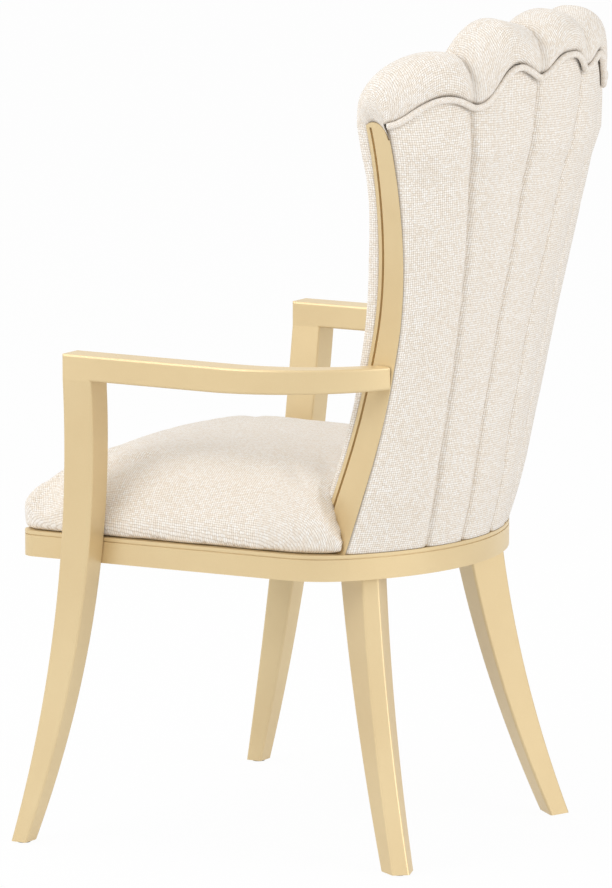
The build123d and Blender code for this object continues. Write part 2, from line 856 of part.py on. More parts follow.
lobe_marks = [-angle for angle in reversed(roll_angles)] + roll_angles
crease_tops = [roll_end_rise, roll_crease_rise[1], roll_crease_rise[0]]
crease_tops = [crest_z + rise for rise in crease_tops + crease_tops[::-1]]
lobe_tops = [crest_z + rise for rise in roll_rise[::-1] + roll_rise[1:]]

with BuildPart() as top_roll:
    for index, lobe_top in enumerate(lobe_tops):
        start, stop = lobe_marks[index], lobe_marks[index + 1]
        low_start, low_stop = crease_tops[index], crease_tops[index + 1]
        sections = []
        for share, swell in ((0, 0), (0.2, 0.7), (0.5, 1), (0.8, 0.7), (1, 0)):
            crease_top = low_start + (low_stop - low_start) * share
            top = crease_top + (lobe_top - crease_top) * swell
            sections.append(roll_section(start + (stop - start) * share, top, swell))
        loft(sections)
    add(under_roll, mode=Mode.SUBTRACT)
    room_levels = (*stile_levels[-3:-1], stile_top + stile_gap)
    stile_room = loft([stile_section(z, stile_gap) for z in room_levels], mode=Mode.SUBTRACT)
    mirror(stile_room, about=Plane.YZ, mode=Mode.SUBTRACT)
top_roll.part.label = "top_roll"
export_step(top_roll.part, "parts/top_roll.step")


# Seat pad: crowned, with drawn-in sides, from the rails up to the inside back

def seat_section(share, side_inset, front_inset, corner_inset, rear_inset, wraps=False):
    """Plan of the seat pad at a share of its crown, drawn in on each side; low down it wraps the stile."""
    z = seat_frame_top + share * seat_crown
    end, apex = inside_front(z)
    clear = inside_bulge + seat_back_gap + rear_inset
    front = (frame_front_half - seat_side_inset - side_inset, frame_front_y + front_inset)
    shoulder_y = seat_shoulder_y - corner_inset
    shoulder = (side_x(shoulder_y) - seat_side_inset - side_inset, shoulder_y)
    rear = (end[0] - side_inset, end[1] - clear)
    if wraps:
        corner = (frame_rear_half - seat_rear_inset - side_inset, seat_rear_y - corner_inset)
        beside = by_stile(z, -stile_width(z), -seat_stile_gap)
    else:
        slope = (rear[0] - shoulder[0], rear[1] - shoulder[1])
        out = seat_corner_swell / hypot(*slope)
        corner = (shoulder[0] + slope[0] / 3 + slope[1] * out, shoulder[1] + slope[1] / 3 - slope[0] * out)
        beside = (rear[0] - slope[0] / 3 + slope[1] * out, rear[1] - slope[1] / 3 - slope[0] * out)
    bow = min(apex - clear - rear[1], rear[0] / 2)
    with BuildSketch(Plane.XY.offset(z)) as section:
        with BuildLine():
            half = [front, shoulder, corner, beside, rear]
            Polyline([mirrored(point) for point in reversed(half)] + half)
            ThreePointArc(rear, (0, rear[1] + bow), mirrored(rear))
        make_face()
        fillet(section.vertices().group_by(Axis.Y)[0], seat_corner_radius)
    return section.sketch


with BuildPart() as seat_pad:
    loft(
        [
            seat_section(0, 0, seat_side_inset, 0, 0, wraps=True),
            seat_section(0.15, -2, -seat_front_bulge, 0, 0, wraps=True),
            seat_section(0.4, 0, -0.5 * seat_front_bulge, 8, 0, wraps=True),
            seat_section(0.63, 20, 16, 40, 2),
            seat_section(0.82, 52, 52, 62, 12),
            seat_section(0.94, 92, 105, 88, 36),
            seat_section(1, 130, 165, 118, 75),
        ]
    )
seat_pad.part.label = "seat_pad"
export_step(seat_pad.part, "parts/seat_pad.step")


# Hardware

with BuildPart() as leg_bolts:
    for side in (1, -1):
        for y in leg_bolt_y:
            plane = leg_bolt_plane(y, side)
            with BuildSketch(plane):
                Circle(leg_bolt_diameter / 2)
            extrude(amount=leg_bolt_length)
            with BuildSketch(plane):
                RegularPolygon(leg_bolt_head_diameter / 2, 6)
            extrude(amount=-leg_bolt_head_height)
leg_bolts.part.label = "leg_bolts"
export_step(leg_bolts.part, "parts/leg_bolts.step")

with BuildPart() as rear_leg_bolts:
    for side in (1, -1):
        with BuildSketch(rear_bolt_plane(side)):
            Circle(rear_bolt_diameter / 2)
        extrude(amount=-rear_bolt_depth)
rear_leg_bolts.part.label = "rear_leg_bolts"
export_step(rear_leg_bolts.part, "parts/rear_leg_bolts.step")

with BuildPart() as mitre_dowels:
    with BuildSketch(mitre_plane):
        Circle(dowel_diameter / 2)
    extrude(amount=dowel_half_length, both=True)
    mirror(about=Plane.YZ)
mitre_dowels.part.label = "mitre_dowels"
export_step(mitre_dowels.part, "parts/mitre_dowels.step")

with BuildPart() as arm_dowels:
    with BuildSketch(arm_dowel_place):
        Circle(arm_dowel_diameter / 2)
    extrude(amount=arm_dowel_half_length, both=True)
    mirror(about=Plane.YZ)
arm_dowels.part.label = "arm_dowels"
export_step(arm_dowels.part, "parts/arm_dowels.step")

with BuildPart() as stile_dowels:
    with BuildSketch(dowel_place(1)):
        Circle(dowel_diameter / 2)
    extrude(amount=dowel_half_length, both=True)
    mirror(about=Plane.YZ)
stile_dowels.part.label = "stile_dowels"
export_step(stile_dowels.part, "parts/stile_dowels.step")

with BuildPart() as deck_screws:
    for side in (1, -1):
        for xy in deck_screw_xy:
            plane = deck_screw_plane(xy, side)
            with BuildSketch(plane):
                Circle(deck_screw_diameter / 2)
            extrude(amount=-deck_screw_length)
            with BuildSketch(plane):
                Circle(deck_screw_head_diameter / 2)
            extrude(amount=-(deck_screw_head_diameter - deck_screw_diameter) / 2, taper=45)
deck_screws.part.label = "deck_screws"
export_step(deck_screws.part, "parts/deck_screws.step")

with BuildPart() as glides:
    for xy in (front_glide_xy, rear_glide_xy):
        plane = glide_plane(xy, 1)
        with BuildSketch(plane):
            Circle(glide_diameter / 2)
        extrude(amount=-glide_thickness)
        with BuildSketch(plane):
            Circle(glide_pin_diameter / 2)
        extrude(amount=glide_pin_length)
    mirror(about=Plane.YZ)
glides.part.label = "glides"
export_step(glides.part, "parts/glides.step")
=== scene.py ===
import math

import bmesh
import bpy
import numpy as np
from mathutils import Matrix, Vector


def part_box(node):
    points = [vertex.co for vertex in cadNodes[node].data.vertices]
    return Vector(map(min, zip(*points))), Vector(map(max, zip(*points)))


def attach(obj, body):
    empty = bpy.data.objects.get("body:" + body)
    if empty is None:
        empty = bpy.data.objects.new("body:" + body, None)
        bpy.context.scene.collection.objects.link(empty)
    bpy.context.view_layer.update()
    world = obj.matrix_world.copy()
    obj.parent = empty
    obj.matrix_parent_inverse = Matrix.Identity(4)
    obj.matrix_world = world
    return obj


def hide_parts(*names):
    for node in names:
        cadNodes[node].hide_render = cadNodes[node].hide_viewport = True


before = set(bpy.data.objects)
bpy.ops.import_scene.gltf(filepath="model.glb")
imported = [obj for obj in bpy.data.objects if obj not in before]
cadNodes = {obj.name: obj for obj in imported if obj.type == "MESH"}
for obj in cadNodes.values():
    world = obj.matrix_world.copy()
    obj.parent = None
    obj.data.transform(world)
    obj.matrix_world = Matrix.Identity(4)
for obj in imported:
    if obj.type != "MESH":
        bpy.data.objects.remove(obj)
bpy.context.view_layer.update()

scene = bpy.context.scene
scene.view_settings.view_transform = "Standard"
print("frame:", len(cadNodes), "nodes")


def addObject(name, data):
    made = bpy.data.objects.new(name, data)
    scene.collection.objects.link(made)
    return made


def aimed(thing, place, target):
    thing.location = place
    thing.rotation_mode = "QUATERNION"
    thing.rotation_quaternion = (Vector(target) - Vector(place)).to_track_quat("-Z", "Y")


# Camera at the photograph's angle, a long lens from behind the sitter's left
photoCamera = dict(place=(6.956, 4.093, 1.8125), target=(0.0, -0.0489, 0.5085), lens=251.76)

cameraData = bpy.data.cameras.new("photoCamera")
cameraData.lens = photoCamera["lens"]
cameraData.sensor_width = 36.0
cameraData.clip_end = 100.0
scene.camera = addObject("photoCamera", cameraData)
aimed(scene.camera, photoCamera["place"], photoCamera["target"])


# Node helpers
def feed(tree, socket, value):
    if isinstance(value, bpy.types.NodeSocket):
        tree.links.new(value, socket)
    else:
        socket.default_value = value


def addNode(tree, kind, inputs=None, **settings):
    made = tree.nodes.new(kind)
    for key, value in settings.items():
        setattr(made, key, value)
    for key, value in (inputs or {}).items():
        feed(tree, made.inputs[key], value)
    return made


def mathNode(tree, operation, first, second=0.0):
    return addNode(tree, "ShaderNodeMath", {0: first, 1: second}, operation=operation).outputs[0]


def mixColour(tree, share, first, second):
    made = addNode(tree, "ShaderNodeMix", data_type="RGBA")
    for number, value in ((0, share), (6, first), (7, second)):
        feed(tree, made.inputs[number], (*value, 1.0) if isinstance(value, tuple) else value)
    return made.outputs[2]


def stretch(tree, value, low, high, toLow=0.0, toHigh=1.0):
    return addNode(tree, "ShaderNodeMapRange", {0: value, 1: low, 2: high, 3: toLow, 4: toHigh}).outputs[0]


def newGroup(name, inputs, outputs):
    group = bpy.data.node_groups.new(name, "ShaderNodeTree")
    for label, kind, value in inputs:
        socket = group.interface.new_socket(name=label, in_out="INPUT", socket_type=kind)
        if value is not None:
            socket.default_value = value
    for label, kind in outputs:
        group.interface.new_socket(name=label, in_out="OUTPUT", socket_type=kind)
    return group, group.nodes.new("NodeGroupInput"), group.nodes.new("NodeGroupOutput")


def newMaterial(name):
    material = bpy.data.materials.new(name)
    material.use_nodes = True
    tree = material.node_tree
    return material, tree, tree.nodes["Principled BSDF"]


def useGroup(tree, group, **inputs):
    return addNode(tree, "ShaderNodeGroup", inputs, node_tree=group).outputs


# Plain weave of thick and thin yarns, read from a map in metres
weaveShape = dict(wander=0.55, yarnRound=0.6, floatRound=0.35, fuzzScale=3.5, fuzz=0.35, uneven=0.14, yarnShadeRound=0.8)


def buildWeave(look):
    tree, given, out = newGroup(
        "yarnWeave",
        [("Map", "NodeSocketVector", None), ("Pitch", "NodeSocketFloat", 0.003), ("Slub", "NodeSocketFloat", 0.35)],
        [("Height", "NodeSocketFloat"), ("YarnShade", "NodeSocketFloat"), ("Fleck", "NodeSocketFloat")],
    )

    def act(operation, first, second=0.0):
        return mathNode(tree, operation, first, second)

    def vector(operation, inputs):
        return addNode(tree, "ShaderNodeVectorMath", inputs, operation=operation).outputs[0]

    scaled = vector("SCALE", {0: given.outputs["Map"], "Scale": act("DIVIDE", 1.0, given.outputs["Pitch"])})
    wander = addNode(tree, "ShaderNodeTexNoise", {"Vector": scaled, "Scale": look["wander"], "Detail": 2.0})
    shift = vector("SUBTRACT", {0: wander.outputs["Color"], 1: (0.5, 0.5, 0.5)})
    yarns = vector("ADD", {0: scaled, 1: vector("SCALE", {0: shift, "Scale": given.outputs["Slub"]})})
    across, along = addNode(tree, "ShaderNodeSeparateXYZ", {0: yarns}).outputs[:2]
    cellX, cellY = act("FLOOR", across), act("FLOOR", along)
    parity = act("FLOORED_MODULO", act("ADD", cellX, cellY), 2.0)
    roundX, roundY = (act("SINE", act("MULTIPLY", act("FRACT", way), math.pi)) for way in (across, along))
    warp, weft = (
        act("MULTIPLY", act("POWER", over, look["yarnRound"]), act("POWER", by, look["floatRound"]))
        for over, by in ((roundX, roundY), (roundY, roundX))
    )
    picked = addNode(tree, "ShaderNodeMix", {0: parity, 2: warp, 3: weft}).outputs[0]
    cell = addNode(tree, "ShaderNodeCombineXYZ", {0: cellX, 1: cellY, 2: parity}).outputs[0]
    chance = addNode(tree, "ShaderNodeTexWhiteNoise", {"Vector": cell}, noise_dimensions="3D").outputs["Value"]
    fuzz = addNode(tree, "ShaderNodeTexNoise", {"Vector": yarns, "Scale": look["fuzzScale"], "Detail": 3.0})
    height = act("ADD", picked, act("MULTIPLY", fuzz.outputs["Fac"], look["fuzz"]))
    height = act("ADD", height, act("MULTIPLY", chance, look["uneven"]))
    tree.links.new(height, out.inputs["Height"])
    # Output for painted shade: high on each yarn's crest, low where the yarns dip between each other
    tree.links.new(act("POWER", picked, look["yarnShadeRound"]), out.inputs["YarnShade"])
    tree.links.new(chance, out.inputs["Fleck"])
    return tree


# Grain of a sprayed or planed surface, with a soft drift of tone
def buildGrain():
    group, given, out = newGroup(
        "surfaceGrain",
        [("Place", "NodeSocketVector", None), ("Fine", "NodeSocketFloat", 900.0), ("Broad", "NodeSocketFloat", 7.0)],
        [("Speckle", "NodeSocketFloat"), ("Drift", "NodeSocketFloat"), ("Streak", "NodeSocketFloat")],
    )
    fine = addNode(group, "ShaderNodeTexNoise", {"Vector": given.outputs[0], "Scale": given.outputs[1], "Detail": 2.0})
    broad = addNode(group, "ShaderNodeTexNoise", {"Vector": given.outputs[0], "Scale": given.outputs[2], "Detail": 4.0})
    drawn = addNode(group, "ShaderNodeMapping", {"Vector": given.outputs[0], "Scale": (120.0, 120.0, 9.0)})
    streak = addNode(group, "ShaderNodeTexNoise", {"Vector": drawn.outputs[0], "Scale": 1.0, "Detail": 5.0})
    for index, made in enumerate((fine, broad, streak)):
        group.links.new(made.outputs["Fac"], out.inputs[index])
    return group


yarnWeave = buildWeave(weaveShape)
surfaceGrain = buildGrain()


def grainOf(tree, look):
    place = addNode(tree, "ShaderNodeTexCoord").outputs["Object"]
    return useGroup(tree, surfaceGrain, Place=place, Fine=look["fine"], Broad=look["broad"])


def bumpFrom(tree, height, strength, distance):
    return addNode(tree, "ShaderNodeBump", {"Height": height, "Strength": strength, "Distance": distance}).outputs[0]


def wovenFabric(name, look):
    material, tree, shader = newMaterial(name)
    uvMap = addNode(tree, "ShaderNodeUVMap", uv_map="clothMap").outputs[0]
    weave = useGroup(tree, yarnWeave, Map=uvMap, Pitch=look["pitch"], Slub=look["slub"])
    cloudy = addNode(tree, "ShaderNodeTexNoise", {"Vector": uvMap, "Scale": 14.0, "Detail": 4.0}).outputs["Fac"]
    yarn = mixColour(tree, stretch(tree, weave["Fleck"], 0.5, 1.0), look["cream"], look["tan"])
    yarn = mixColour(tree, stretch(tree, weave["Fleck"], 0.5, 0.0), yarn, look["pale"])
    yarn = mixColour(tree, stretch(tree, cloudy, 0.35, 0.7, 0.0, 0.16), yarn, look["tan"])
    # Painted shade between the yarns: the colour darkens towards the gap colour where the yarns dip
    colour = mixColour(tree, stretch(tree, weave["YarnShade"], 0.2, 0.85, look["gapShade"], 0.0), yarn, look["gap"])
    # Painted shade: the cloth darkens towards its dark brown fold colour where the mesh's mask marks seams, creases,
    # tucks and the cover's edges
    tucked = addNode(tree, "ShaderNodeAttribute", attribute_name="foldShade").outputs["Fac"]
    colour = mixColour(tree, tucked, colour, look["foldShade"])
    tree.links.new(colour, shader.inputs["Base Color"])
    tree.links.new(bumpFrom(tree, weave["Height"], look["bump"], look["relief"]), shader.inputs["Normal"])
    shader.inputs["Roughness"].default_value = 0.92
    shader.inputs["Specular IOR Level"].default_value = 0.2
    shader.inputs["Sheen Weight"].default_value = 0.25
    shader.inputs["Sheen Roughness"].default_value = 0.5
    return material


def paintedWood(name, look):
    material, tree, shader = newMaterial(name)
    grain = grainOf(tree, look)
    colour = mixColour(tree, stretch(tree, grain["Drift"], 0.3, 0.7), look["low"], look["high"])
    colour = mixColour(tree, stretch(tree, grain["Speckle"], 0.55, 0.75, 0.0, 0.25), colour, look["glint"])
    tree.links.new(colour, shader.inputs["Base Color"])
    tree.links.new(stretch(tree, grain["Speckle"], 0.3, 0.7, *look["rough"]), shader.inputs["Roughness"])
    height = mathNode(tree, "ADD", mathNode(tree, "MULTIPLY", grain["Streak"], 0.4), grain["Speckle"])
    tree.links.new(bumpFrom(tree, height, look["bump"], 0.0006), shader.inputs["Normal"])
    shader.inputs["Metallic"].default_value = look["metal"]
    return material


def plainFinish(name, look):
    material, tree, shader = newMaterial(name)
    grain = grainOf(tree, look)
    colour = mixColour(tree, stretch(tree, grain["Streak"], 0.35, 0.65), look["low"], look["high"])
    tree.links.new(colour, shader.inputs["Base Color"])
    tree.links.new(stretch(tree, grain["Drift"], 0.3, 0.7, *look["rough"]), shader.inputs["Roughness"])
    tree.links.new(bumpFrom(tree, grain["Streak"], look["bump"], 0.0006), shader.inputs["Normal"])
    shader.inputs["Metallic"].default_value = look["metal"]
    return material


# Each cloth's dark brown fold colour is painted shade for seams, creases and tucks, laid on by the mesh's mask
creamCloth = wovenFabric("creamWeave", dict(
    pitch=0.0031, slub=0.85, cream=(0.935, 0.88, 0.805), tan=(0.86, 0.78, 0.68), pale=(0.965, 0.94, 0.90),
    gap=(0.48, 0.39, 0.295), gapShade=0.75, foldShade=(0.20, 0.145, 0.085), bump=0.5, relief=0.0008,
))
weltCloth = wovenFabric("weltWeave", dict(
    pitch=0.0022, slub=0.4, cream=(0.92, 0.86, 0.785), tan=(0.84, 0.755, 0.65), pale=(0.96, 0.93, 0.885),
    gap=(0.58, 0.48, 0.37), gapShade=0.55, foldShade=(0.20, 0.145, 0.085), bump=0.5, relief=0.0008,
))
dustCloth = wovenFabric("dustWeave", dict(
    pitch=0.0012, slub=0.2, cream=(0.030, 0.029, 0.028), tan=(0.045, 0.042, 0.040), pale=(0.060, 0.058, 0.055),
    gap=(0.012, 0.012, 0.012), gapShade=0.6, foldShade=(0.01, 0.01, 0.01), bump=0.3, relief=0.0004,
))
goldPaint = paintedWood("champagneGoldPaint", dict(
    fine=1400.0, broad=5.0, low=(0.685, 0.525, 0.29), high=(0.745, 0.59, 0.34), glint=(0.86, 0.73, 0.49),
    rough=(0.34, 0.46), bump=0.10, metal=0.45,
))
plyWood = plainFinish("birchPlywood", dict(
    fine=600.0, broad=9.0, low=(0.50, 0.35, 0.20), high=(0.66, 0.49, 0.30), rough=(0.55, 0.75), bump=0.25, metal=0.0,
))
blockWood = plainFinish("hardwoodBlock", dict(
    fine=600.0, broad=9.0, low=(0.36, 0.22, 0.12), high=(0.50, 0.33, 0.19), rough=(0.55, 0.75), bump=0.3, metal=0.0,
))
dowelWood = plainFinish("dowelBeech", dict(
    fine=600.0, broad=12.0, low=(0.56, 0.38, 0.22), high=(0.70, 0.50, 0.31), rough=(0.5, 0.7), bump=0.25, metal=0.0,
))
zincSteel = plainFinish("zincSteel", dict(
    fine=900.0, broad=30.0, low=(0.52, 0.53, 0.54), high=(0.66, 0.67, 0.68), rough=(0.28, 0.42), bump=0.08, metal=1.0,
))
glidePlastic = plainFinish("glidePlastic", dict(
    fine=900.0, broad=40.0, low=(0.020, 0.018, 0.016), high=(0.034, 0.031, 0.028), rough=(0.4, 0.55),
    bump=0.1, metal=0.0,
))

goldNodes = (
    "front_leg_left", "front_leg_right", "arm_left", "arm_right", "back_stile_left", "back_stile_right",
    "rear_leg_left", "rear_leg_right", "front_rail", "side_rail_left", "side_rail_right", "rear_rail",
)
finishOf = dict(
    back_shell=plyWood, seat_deck=plyWood, corner_blocks=blockWood, mitre_dowels=dowelWood, arm_dowels=dowelWood,
    stile_dowels=dowelWood, leg_bolts=zincSteel, rear_leg_bolts=zincSteel, deck_screws=zincSteel, glides=glidePlastic,
)
finishOf.update((name, goldPaint) for name in goldNodes)
for name, finish in finishOf.items():
    data = cadNodes[name].data
    data.materials.clear()
    data.materials.append(finish)
print("finishes on", len(finishOf), "frame nodes")


# Lines of the back, the same as in the part's source, in metres, with the curves' stations in millimetres
backShape = dict(
    railTop=0.408, footX=0.206, footY=0.131, centreY=0.214, turn=math.radians(17.0),
    footWidth=0.056, topWidth=0.0385, stileTop=0.972, tipFront=0.966, tipRear=0.951, tipShare=0.62, crest=1.016,
    rise=(0, 35, 82, 142, 230, 297, 362, 422, 485, 543, 608, 658),
    out=(0, 0.3, 0.5, 0, 0, 4, 14, 26, 38, 48, 55, 56.5),
    rear=(0, 12.5, 28.5, 47.5, 69, 83, 93, 98, 98, 93, 81, 64),
    centre=(-2, 6, 14.5, 25, 41.5, 54, 69, 82, 93, 101, 108, 112),
    seamFoot=(0.18, 0.50), seamTop=(0.215, 0.64),
    fullAt=(0.41, 0.45, 0.49, 0.55, 0.77, 0.83, 0.893, 0.93, 1.05),
    full=(0.0015, 0.004, 0.005, 0.0032, 0.003, 0.0045, 0.010, 0.019, 0.016), fill=0.72, fillRun=0.20,
    leadAt=(0.42, 0.60, 0.66, 0.72, 0.79, 0.86, 0.90, 0.93, 0.98),
    lead=(0.005, 0.008, 0.0125, 0.0155, 0.0165, 0.0125, 0.0125, 0.0155, 0.017),
    coverEnd=0.0010, frontInset=0.009, thickness=0.0653, panelRound=3.2, fillRound=2.8,
)
# The welt's wave on one half of the back, in millimetres
weltWave = dict(
    out=(0, 28, 55, 75, 103, 128, 147, 165, 183, 205, 228, 246, 260),
    height=(1044, 1039, 1019.5, 1024, 1037, 1024, 998, 988, 995, 1001.5, 996, 983, 964),
)


def splineThrough(stations, values):
    x, y = np.array(stations, float), np.array(values, float)
    gap, count = np.diff(x), len(x)
    matrix, side = np.eye(count), np.zeros(count)
    for i in range(1, count - 1):
        matrix[i, i - 1:i + 2] = gap[i - 1], 2 * (gap[i - 1] + gap[i]), gap[i]
        side[i] = 6 * ((y[i + 1] - y[i]) / gap[i] - (y[i] - y[i - 1]) / gap[i - 1])
    bend = np.linalg.solve(matrix, side)

    def at(q):
        q = np.clip(np.asarray(q, float), x[0], x[-1])
        i = np.clip(np.searchsorted(x, q) - 1, 0, count - 2)
        h, a, b = gap[i], x[i + 1] - q, q - x[i]
        curve = (bend[i] * a**3 + bend[i + 1] * b**3) / (6 * h)
        return curve + (y[i] / h - bend[i] * h / 6) * a + (y[i + 1] / h - bend[i + 1] * h / 6) * b

    return at


levels = np.array(backShape["rise"]) / 1000 + backShape["railTop"]
lineOut, lineRear, lineCentre = (
    splineThrough(levels, np.array(backShape[line]) / 1000) for line in ("out", "rear", "centre")
)


def stileX(z):
    return backShape["footX"] + lineOut(z)


def stileY(z):
    return backShape["footY"] + lineRear(z)


def apexY(z):
    return backShape["centreY"] + lineCentre(z)


def stileWidth(z):
    share = (z - backShape["railTop"]) / (backShape["stileTop"] - backShape["railTop"])
    return backShape["footWidth"] + (backShape["topWidth"] - backShape["footWidth"]) * np.minimum(share, 1.0)


def byStile(z, reach, depth=0.0):
    s, c = math.sin(backShape["turn"]), math.cos(backShape["turn"])
    return stileX(z) + reach * s - depth * c, stileY(z) + reach * c + depth * s


def seamX(z, index):
    rise = (z - backShape["railTop"]) / (backShape["crest"] - backShape["railTop"])
    foot, top = backShape["seamFoot"][index], backShape["seamTop"][index]
    return stileX(z) * (foot + (top - foot) * rise)


waveOut, waveHeight = np.array(weltWave["out"]) / 1000, np.array(weltWave["height"]) / 1000
weltHeight = splineThrough(
    np.concatenate([-waveOut[:0:-1], waveOut]), np.concatenate([waveHeight[:0:-1], waveHeight])
)
tipCurve = np.polyfit(
    (-backShape["topWidth"], -backShape["topWidth"] * backShape["tipShare"], 0.0),
    (backShape["tipFront"], backShape["stileTop"], backShape["tipRear"]), 2,
)


# Columns across the back: which of the five channels, and how far across it
def channelColumns(perChannel):
    steps = (1 - np.cos(np.pi * np.arange(perChannel) / perChannel)) / 2
    channel = np.concatenate([np.repeat(np.arange(5), perChannel), [4]])
    across = np.concatenate([np.tile(steps, 5), [1.0]])
    return channel, across


def arcAngles(endX, endY, apex, seams, channel, across):
    drop = apex - endY
    radius = (endX**2 + drop**2) / (2 * drop)
    marks = [np.arcsin(np.clip(mark / radius, -1, 1)) for mark in (endX, seams[1], seams[0])]
    marks = np.stack([-marks[0], -marks[1], -marks[2], marks[2], marks[1], marks[0]])
    first = np.take_along_axis(marks, channel[None, :] * np.ones_like(endX, int), 0)[0]
    second = np.take_along_axis(marks, (channel + 1)[None, :] * np.ones_like(endX, int), 0)[0]
    return radius, first + (second - first) * across


def onArc(z, apex, radius, angle, out):
    return np.stack([(radius + out) * np.sin(angle), apex - radius + (radius + out) * np.cos(angle), z], -1)


# A column's place on the outside back, all columns at one height each
def outsidePoint(z, channel, across, out):
    seams = seamX(z, 0), seamX(z, 1)
    arc = arcAngles(*byStile(z, backShape["coverEnd"]), apexY(z), seams, channel, across)
    return onArc(z, apexY(z), *arc, out)


def insidePoint(z, channel, across, out):
    lead = np.interp(z, backShape["leadAt"], backShape["lead"])
    endX, endY = byStile(z, -stileWidth(z) - lead, backShape["frontInset"])
    apex, narrow = apexY(z) - backShape["thickness"], endX / stileX(z)
    seams = seamX(z, 0) * narrow, seamX(z, 1) * narrow
    return onArc(z, apex, *arcAngles(endX, endY, apex, seams, channel, across), out)


# How wide each column's channel is at its height
def channelWidth(pointOn, z, channel):
    last, first = (pointOn(z, channel, np.full(channel.shape, side), 0)[:, 0] for side in (1.0, 0.0))
    return np.abs(last - first)


# How far a column of an end channel lies towards the stile, and whether it is in that channel's outer half
def towardsStile(channel, across):
    return np.where(channel == 0, 1 - across, np.where(channel == 4, across, 0.0))


def besideStile(channel, across):
    return ((channel == 0) & (across < 0.5)) | ((channel == 4) & (across > 0.5))


# Fullness of a channel from seam to seam, with the seam drawn in
def puff(across, fullness):
    return 1 - np.abs(2 * across - 1) ** fullness


def smoothStep(share):
    share = np.clip(share, 0, 1)
    return share * share * (3 - 2 * share)


def bell(share):
    return np.exp(-(share**2))


# Fullness of the outside panels; close under the welt their valleys fill up
def outsideFull(z, channel, across, below=0.0):
    share = puff(across, backShape["panelRound"])
    filled = 1 - np.maximum(2 * towardsStile(channel, across) - 1, 0) ** backShape["fillRound"]
    share = share + (filled - share) * backShape["fill"] * (1 - smoothStep(below / backShape["fillRun"]))
    return np.interp(z, backShape["fullAt"], backShape["full"]) * share


def seamWidths(z):
    inner, outer, end = seamX(z, 0), seamX(z, 1), stileX(z)
    return np.array([end - outer, outer - inner, 2 * inner, outer - inner, end - outer])


def weltLine(channel, across):
    z = np.full(channel.shape, backShape["crest"])
    for _ in range(8):
        z = weltHeight(outsidePoint(z, channel, across, outsideFull(z, channel, across))[:, 0])
    return z


# Each corner's place in the flat cloth, from one place for each vertex
def writeClothMap(mesh, flat):
    corners = np.zeros(len(mesh.loops), int)
    mesh.loops.foreach_get("vertex_index", corners)
    layer = mesh.uv_layers.new(name="clothMap")
    layer.data.foreach_set("uv", flat[corners].astype(np.float32).ravel())


def meshFromGrids(name, front, back, clothMap, foldShade):
    rows, cols = front.shape[:2]
    points = np.concatenate([front.reshape(-1, 3), back.reshape(-1, 3)])
    index = np.arange(rows * cols).reshape(rows, cols)
    quads = np.stack([index[:-1, :-1], index[:-1, 1:], index[1:, 1:], index[1:, :-1]], -1).reshape(-1, 4)
    behind = quads[:, ::-1] + rows * cols
    rim = np.concatenate([index[0, :-1], index[:-1, -1], index[-1, :0:-1], index[:0:-1, 0]])
    after = np.roll(rim, -1)
    edge = np.stack([after, rim, rim + rows * cols, after + rows * cols], -1)
    faces = np.concatenate([quads, behind, edge])
    mesh = bpy.data.meshes.new(name)
    mesh.from_pydata(points.tolist(), [], faces.tolist())
    writeClothMap(mesh, np.concatenate([clothMap.reshape(-1, 2)] * 2))
    # Mask of painted shade in seams, creases and tucks, read by the cloth's material
    mask = mesh.attributes.new("foldShade", "FLOAT", "POINT")
    mask.data.foreach_set("value", np.concatenate([foldShade.ravel()] * 2).astype(np.float32))
    return finishedPiece(name, mesh)


def finishedPiece(name, mesh):
    shape = bmesh.new()
    shape.from_mesh(mesh)
    bmesh.ops.recalc_face_normals(shape, faces=shape.faces)
    shape.to_mesh(mesh)
    shape.free()
    mesh.shade_smooth()
    return addObject(name, mesh)


def runs(points):
    steps = np.linalg.norm(np.diff(points, axis=0), axis=-1)
    return np.concatenate([np.zeros((1, points.shape[1])), np.cumsum(steps, axis=0)])


# Cloth map of a channelled panel: across from each channel's middle, along every column
def channelMap(front, channel, across):
    rows, cols = front.shape[:2]
    mapped = np.zeros((rows, cols, 2))
    lengths = runs(front)
    for number in range(5):
        members = np.where(channel == number)[0]
        middle = members[np.argmin(np.abs(across[members] - 0.5))]
        stepAcross = np.linalg.norm(np.diff(front[:, members], axis=1), axis=-1)
        reach = np.concatenate([np.zeros((rows, 1)), np.cumsum(stepAcross, axis=1)], axis=1)
        centred = reach - reach[:, [int(np.where(members == middle)[0][0])]]
        mapped[:, members, 0] = centred + 0.37 * number  # each channel its own cut of cloth
        mapped[:, members, 1] = lengths[:, members]
    return mapped


# Outside back
outsideBack = dict(
    perChannel=30, rows=150, low=0.4085, rise=0.001, lining=0.0065, seamDepth=0.0044, seamFade=0.012, endDepth=0.0015,
    seamWidth=0.0032, tuck=0.0022, tuckAt=0.0045, foldWidth=0.0019, endShade=0.9, seamShade=0.10,
    rimShade=0.15, rimWidth=0.0055,
)


